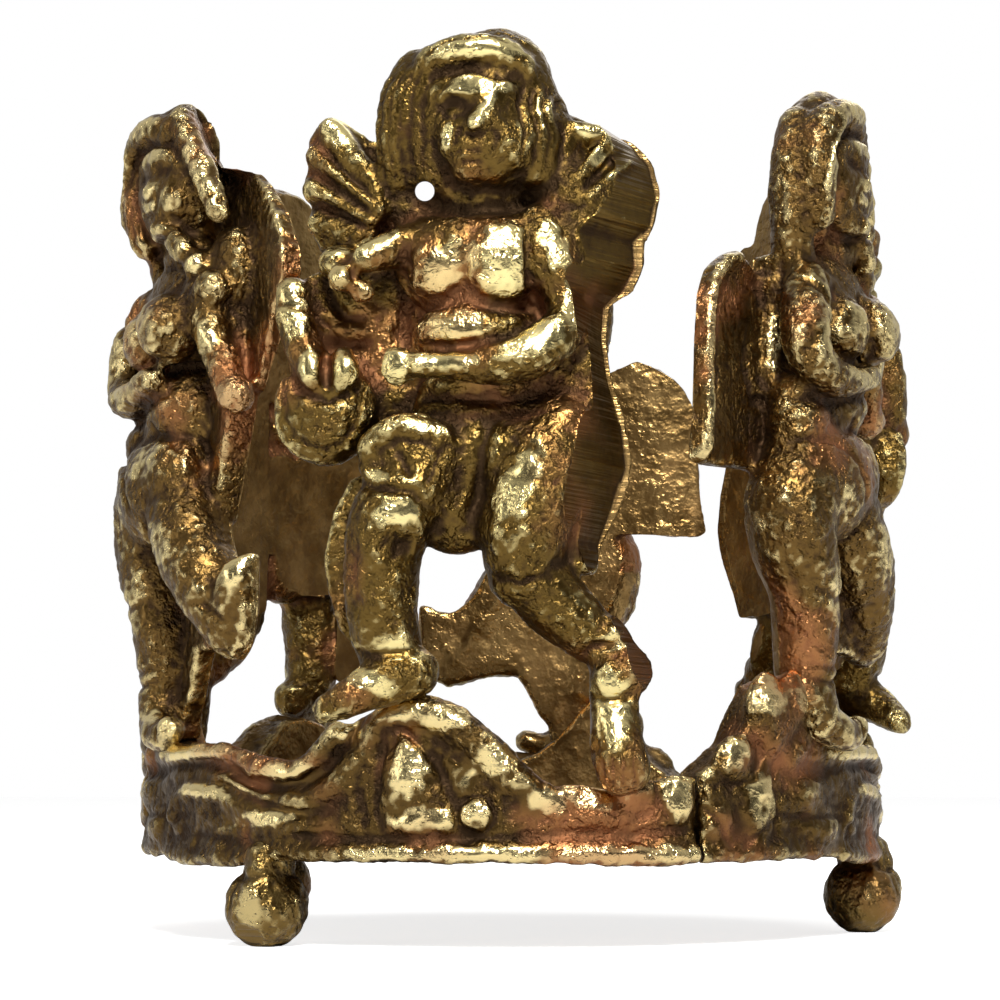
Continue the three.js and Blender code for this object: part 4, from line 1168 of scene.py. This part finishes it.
def worn_brass(name, metal, patina_shade_tone, rubbed_highlight_tone, wear, blush=0.35):
    """Brass with its patina, painted shade and highlights, rubbed places, filed backs and sawn flanks."""
    material, w, shader = new_material(name)
    point = w.node("ShaderNodeTexCoord")["Object"]
    sawn, back, wear_highlight = w.mark("sawn"), w.mark("back"), w.mark("wear_highlight")
    smoothed = w.most(w.most(sawn, w.times(back, 0.8)), w.times(wear_highlight, 0.7))
    grain = {"Point": point, "Grain Size": GRAIN_SCALE, "Smoothed": smoothed}
    sand = w.node("ShaderNodeGroup", grain, node_tree=GRAIN)
    # the coat paints patina and shade in the hollows, and bright metal as wear and highlight on rubbed
    # spots and high places
    coat = w.node("ShaderNodeGroup", {
        "Point": point, "Hollow": w.mark("hollow"), "Shade": w.mark("shade"), "Pits": sand["Pits"],
        "Wear Highlight": wear_highlight, "Wear": wear, "Rubbed Highlight Tone": rubbed_highlight_tone + (1.0,), "Metal": metal + (1.0,),
        "Patina Shade Tone": patina_shade_tone + (1.0,)}, node_tree=PATINA_WEAR_LIGHT)
    red = {"Point": point, "Color": coat["Color"], "Amount": blush}
    bloom = w.node("ShaderNodeGroup", red, node_tree=BLUSH)
    # filed backs and inner walls stay tan brown
    plain = w.mix(w.step(w.noise(point, STREAK_SCALE, 4.0, 0.6), 0.35, 0.7), BACK_BROWN, BACK_TAN)
    # saw lines run level across the cut flank
    level = w.node("ShaderNodeMapping", {"Vector": point, "Scale": SAW_LINES})["Vector"]
    lines = w.times(w.noise(level, 1.0, 2.0), sawn)
    strokes = w.times(w.noise(point, STROKE_SCALE, 3.0), w.times(back, 0.8))
    relief = w.plus(w.plus(sand["Height"], w.times(lines, 0.8)), strokes)
    dent = {"Strength": RELIEF_STRENGTH, "Distance": RELIEF_DEPTH, "Height": relief}
    w.feed(shader, {
        "Base Color": w.mix(w.times(back, 0.85), bloom["Color"], plain),
        "Roughness": coat["Roughness"],
        "Metallic": w.minus(1.0, w.times(coat["Patina And Shade"], 0.12)),
        "Normal": w.node("ShaderNodeBump", dent)["Normal"],
    })
    return material


def pale_floor_material():
    """White paper that looks a little brighter than it is lit."""
    material, w, shader = new_material("pale_floor")
    seen = w.node("ShaderNodeLightPath")["Is Camera Ray"]
    w.feed(shader, {"Base Color": FLOOR_GREY, "Roughness": 0.8, "Emission Color": (1, 1, 1, 1),
                    "Emission Strength": w.times(seen, FLOOR_GLOW)})
    return material


# Putting the pieces in place

def ring_axis():
    """Axis of the ring in the shared frame, in metres: the candle pan is turned about it."""
    low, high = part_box("candle_pan")
    return Vector(((low.x + high.x) / 2, (low.y + high.y) / 2, 0.0))


AXIS = ring_axis()


def add_piece(name, mesh, angle, material):
    """Turns a finished mesh to its place in the ring, in metres, and hides its node."""
    turn = Matrix.Rotation(math.radians(angle), 4, "Z")
    mesh.transform(Matrix.Translation(AXIS) @ turn @ Matrix.Scale(MM, 4))
    mesh.materials.clear()
    mesh.materials.append(material)
    piece = added("finished_" + name, mesh)
    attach(piece, "root")
    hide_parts(name)


def build_holder():
    figure_brass = worn_brass("figure_brass", metal=(0.145, 0.088, 0.022), patina_shade_tone=(0.042, 0.022, 0.008),
                              rubbed_highlight_tone=(0.9, 0.74, 0.33), wear=0.13)
    piper_brass = worn_brass("piper_brass", metal=(0.15, 0.086, 0.025), patina_shade_tone=(0.045, 0.023, 0.009),
                             rubbed_highlight_tone=(0.9, 0.72, 0.34), wear=0.25, blush=0.55)
    base_brass = worn_brass("base_brass", metal=(0.118, 0.069, 0.02), patina_shade_tone=(0.04, 0.021, 0.008),
                            rubbed_highlight_tone=(0.9, 0.72, 0.34), wear=0.08, blush=0.55)
    foot_brass = worn_brass("foot_brass", metal=(0.19, 0.12, 0.036), patina_shade_tone=(0.045, 0.027, 0.011),
                            rubbed_highlight_tone=(0.6, 0.47, 0.21), wear=0.25)
    pan_brass = worn_brass("pan_brass", metal=(0.30, 0.20, 0.08), patina_shade_tone=(0.06, 0.038, 0.016),
                           rubbed_highlight_tone=(0.5, 0.37, 0.16), wear=0.4)
    lute = lute_cherub()
    piper = piper_cherub()
    section = base_section()
    foot = ball_foot()
    for n in range(3):
        number = str(n + 1)
        player = tucked(lute, HEEL_TUCK[n])
        add_piece("lute_cherub_" + number, player, LUTE_ANGLES[n], figure_brass)
        add_piece("piper_cherub_" + number, piper.copy(), PIPER_ANGLES[n], piper_brass)
        add_piece("base_section_" + number, section.copy(), SECTION_ANGLES[n], base_brass)
        add_piece("ball_foot_" + number, foot.copy(), FOOT_ANGLES[n], foot_brass)
    add_piece("candle_pan", candle_pan(), 0.0, pan_brass)


# Floor, light and camera

CAMERA_TURN = 3.23
CAMERA_REACH = 0.2075
CAMERA_HEIGHT = 0.01188
CAMERA_PITCH = 6.87
CAMERA_LENS = 86.18
CAMERA_SHIFT = -0.0127
MIDDLE = (0.0, 0.0, 0.035)
FLOOR_HALF = 3.0


def add_lamp(name, place, size, power):
    """Soft lamp turned to the middle of the holder."""
    data = bpy.data.lights.new(name, "AREA")
    data.shape = "RECTANGLE"
    data.size, data.size_y = size
    data.energy = power
    lamp = added(name, data)
    lamp.location = place
    lamp.rotation_euler = (Vector(MIDDLE) - Vector(place)).to_track_quat("-Z", "Y").to_euler()


def light_and_floor():
    bm = bmesh.new()
    bmesh.ops.create_grid(bm, x_segments=1, y_segments=1, size=FLOOR_HALF)
    mesh = mesh_of(bm, "floor")
    mesh.materials.append(pale_floor_material())
    floor = added("floor", mesh)

    world = bpy.data.worlds.new("studio")
    bpy.context.scene.world = world
    world.use_nodes = True
    w = Wires(world.node_tree)
    rays = w.node("ShaderNodeLightPath")
    seen = w.most(rays["Is Camera Ray"], rays["Is Transmission Ray"])
    # the white surround fades to a dim room on the side that the front faces
    way = w.node("ShaderNodeSeparateXYZ", {0: w.node("ShaderNodeTexCoord")["Generated"]})
    toward = w.minus(w.times(way["Y"], -1.0), w.times(way["Z"], 0.6))
    room = w.step(toward, -0.5, 0.45, 0.5, 0.025)
    glossy = w.times(rays["Is Glossy Ray"], room)
    w.feed(world.node_tree.nodes["Background"].inputs, {
        "Color": (1, 1, 1, 1), "Strength": w.most(w.most(seen, glossy), w.times(room, 0.5))})

    add_lamp("key", place=(0.06, -0.42, 0.40), size=(0.12, 0.12), power=3.6)
    add_lamp("fill", place=(-0.5, -0.3, 0.2), size=(0.2, 0.3), power=0.5)
    add_lamp("rim", place=(0.1, 0.5, 0.45), size=(0.4, 0.3), power=0.6)


def add_camera():
    data = bpy.data.cameras.new("camera")
    data.sensor_width = 36.0
    data.lens = CAMERA_LENS
    data.shift_x = CAMERA_SHIFT
    data.clip_start = 0.01
    camera = added("camera", data)
    turn = math.radians(CAMERA_TURN)
    reach = Vector((CAMERA_REACH * math.sin(turn), -CAMERA_REACH * math.cos(turn), CAMERA_HEIGHT))
    camera.location = AXIS + reach
    camera.rotation_euler = (math.radians(90 + CAMERA_PITCH), 0.0, turn)
    bpy.context.scene.camera = camera


build_holder()
light_and_floor()
add_camera()
bpy.context.scene.view_settings.view_transform = "Standard"
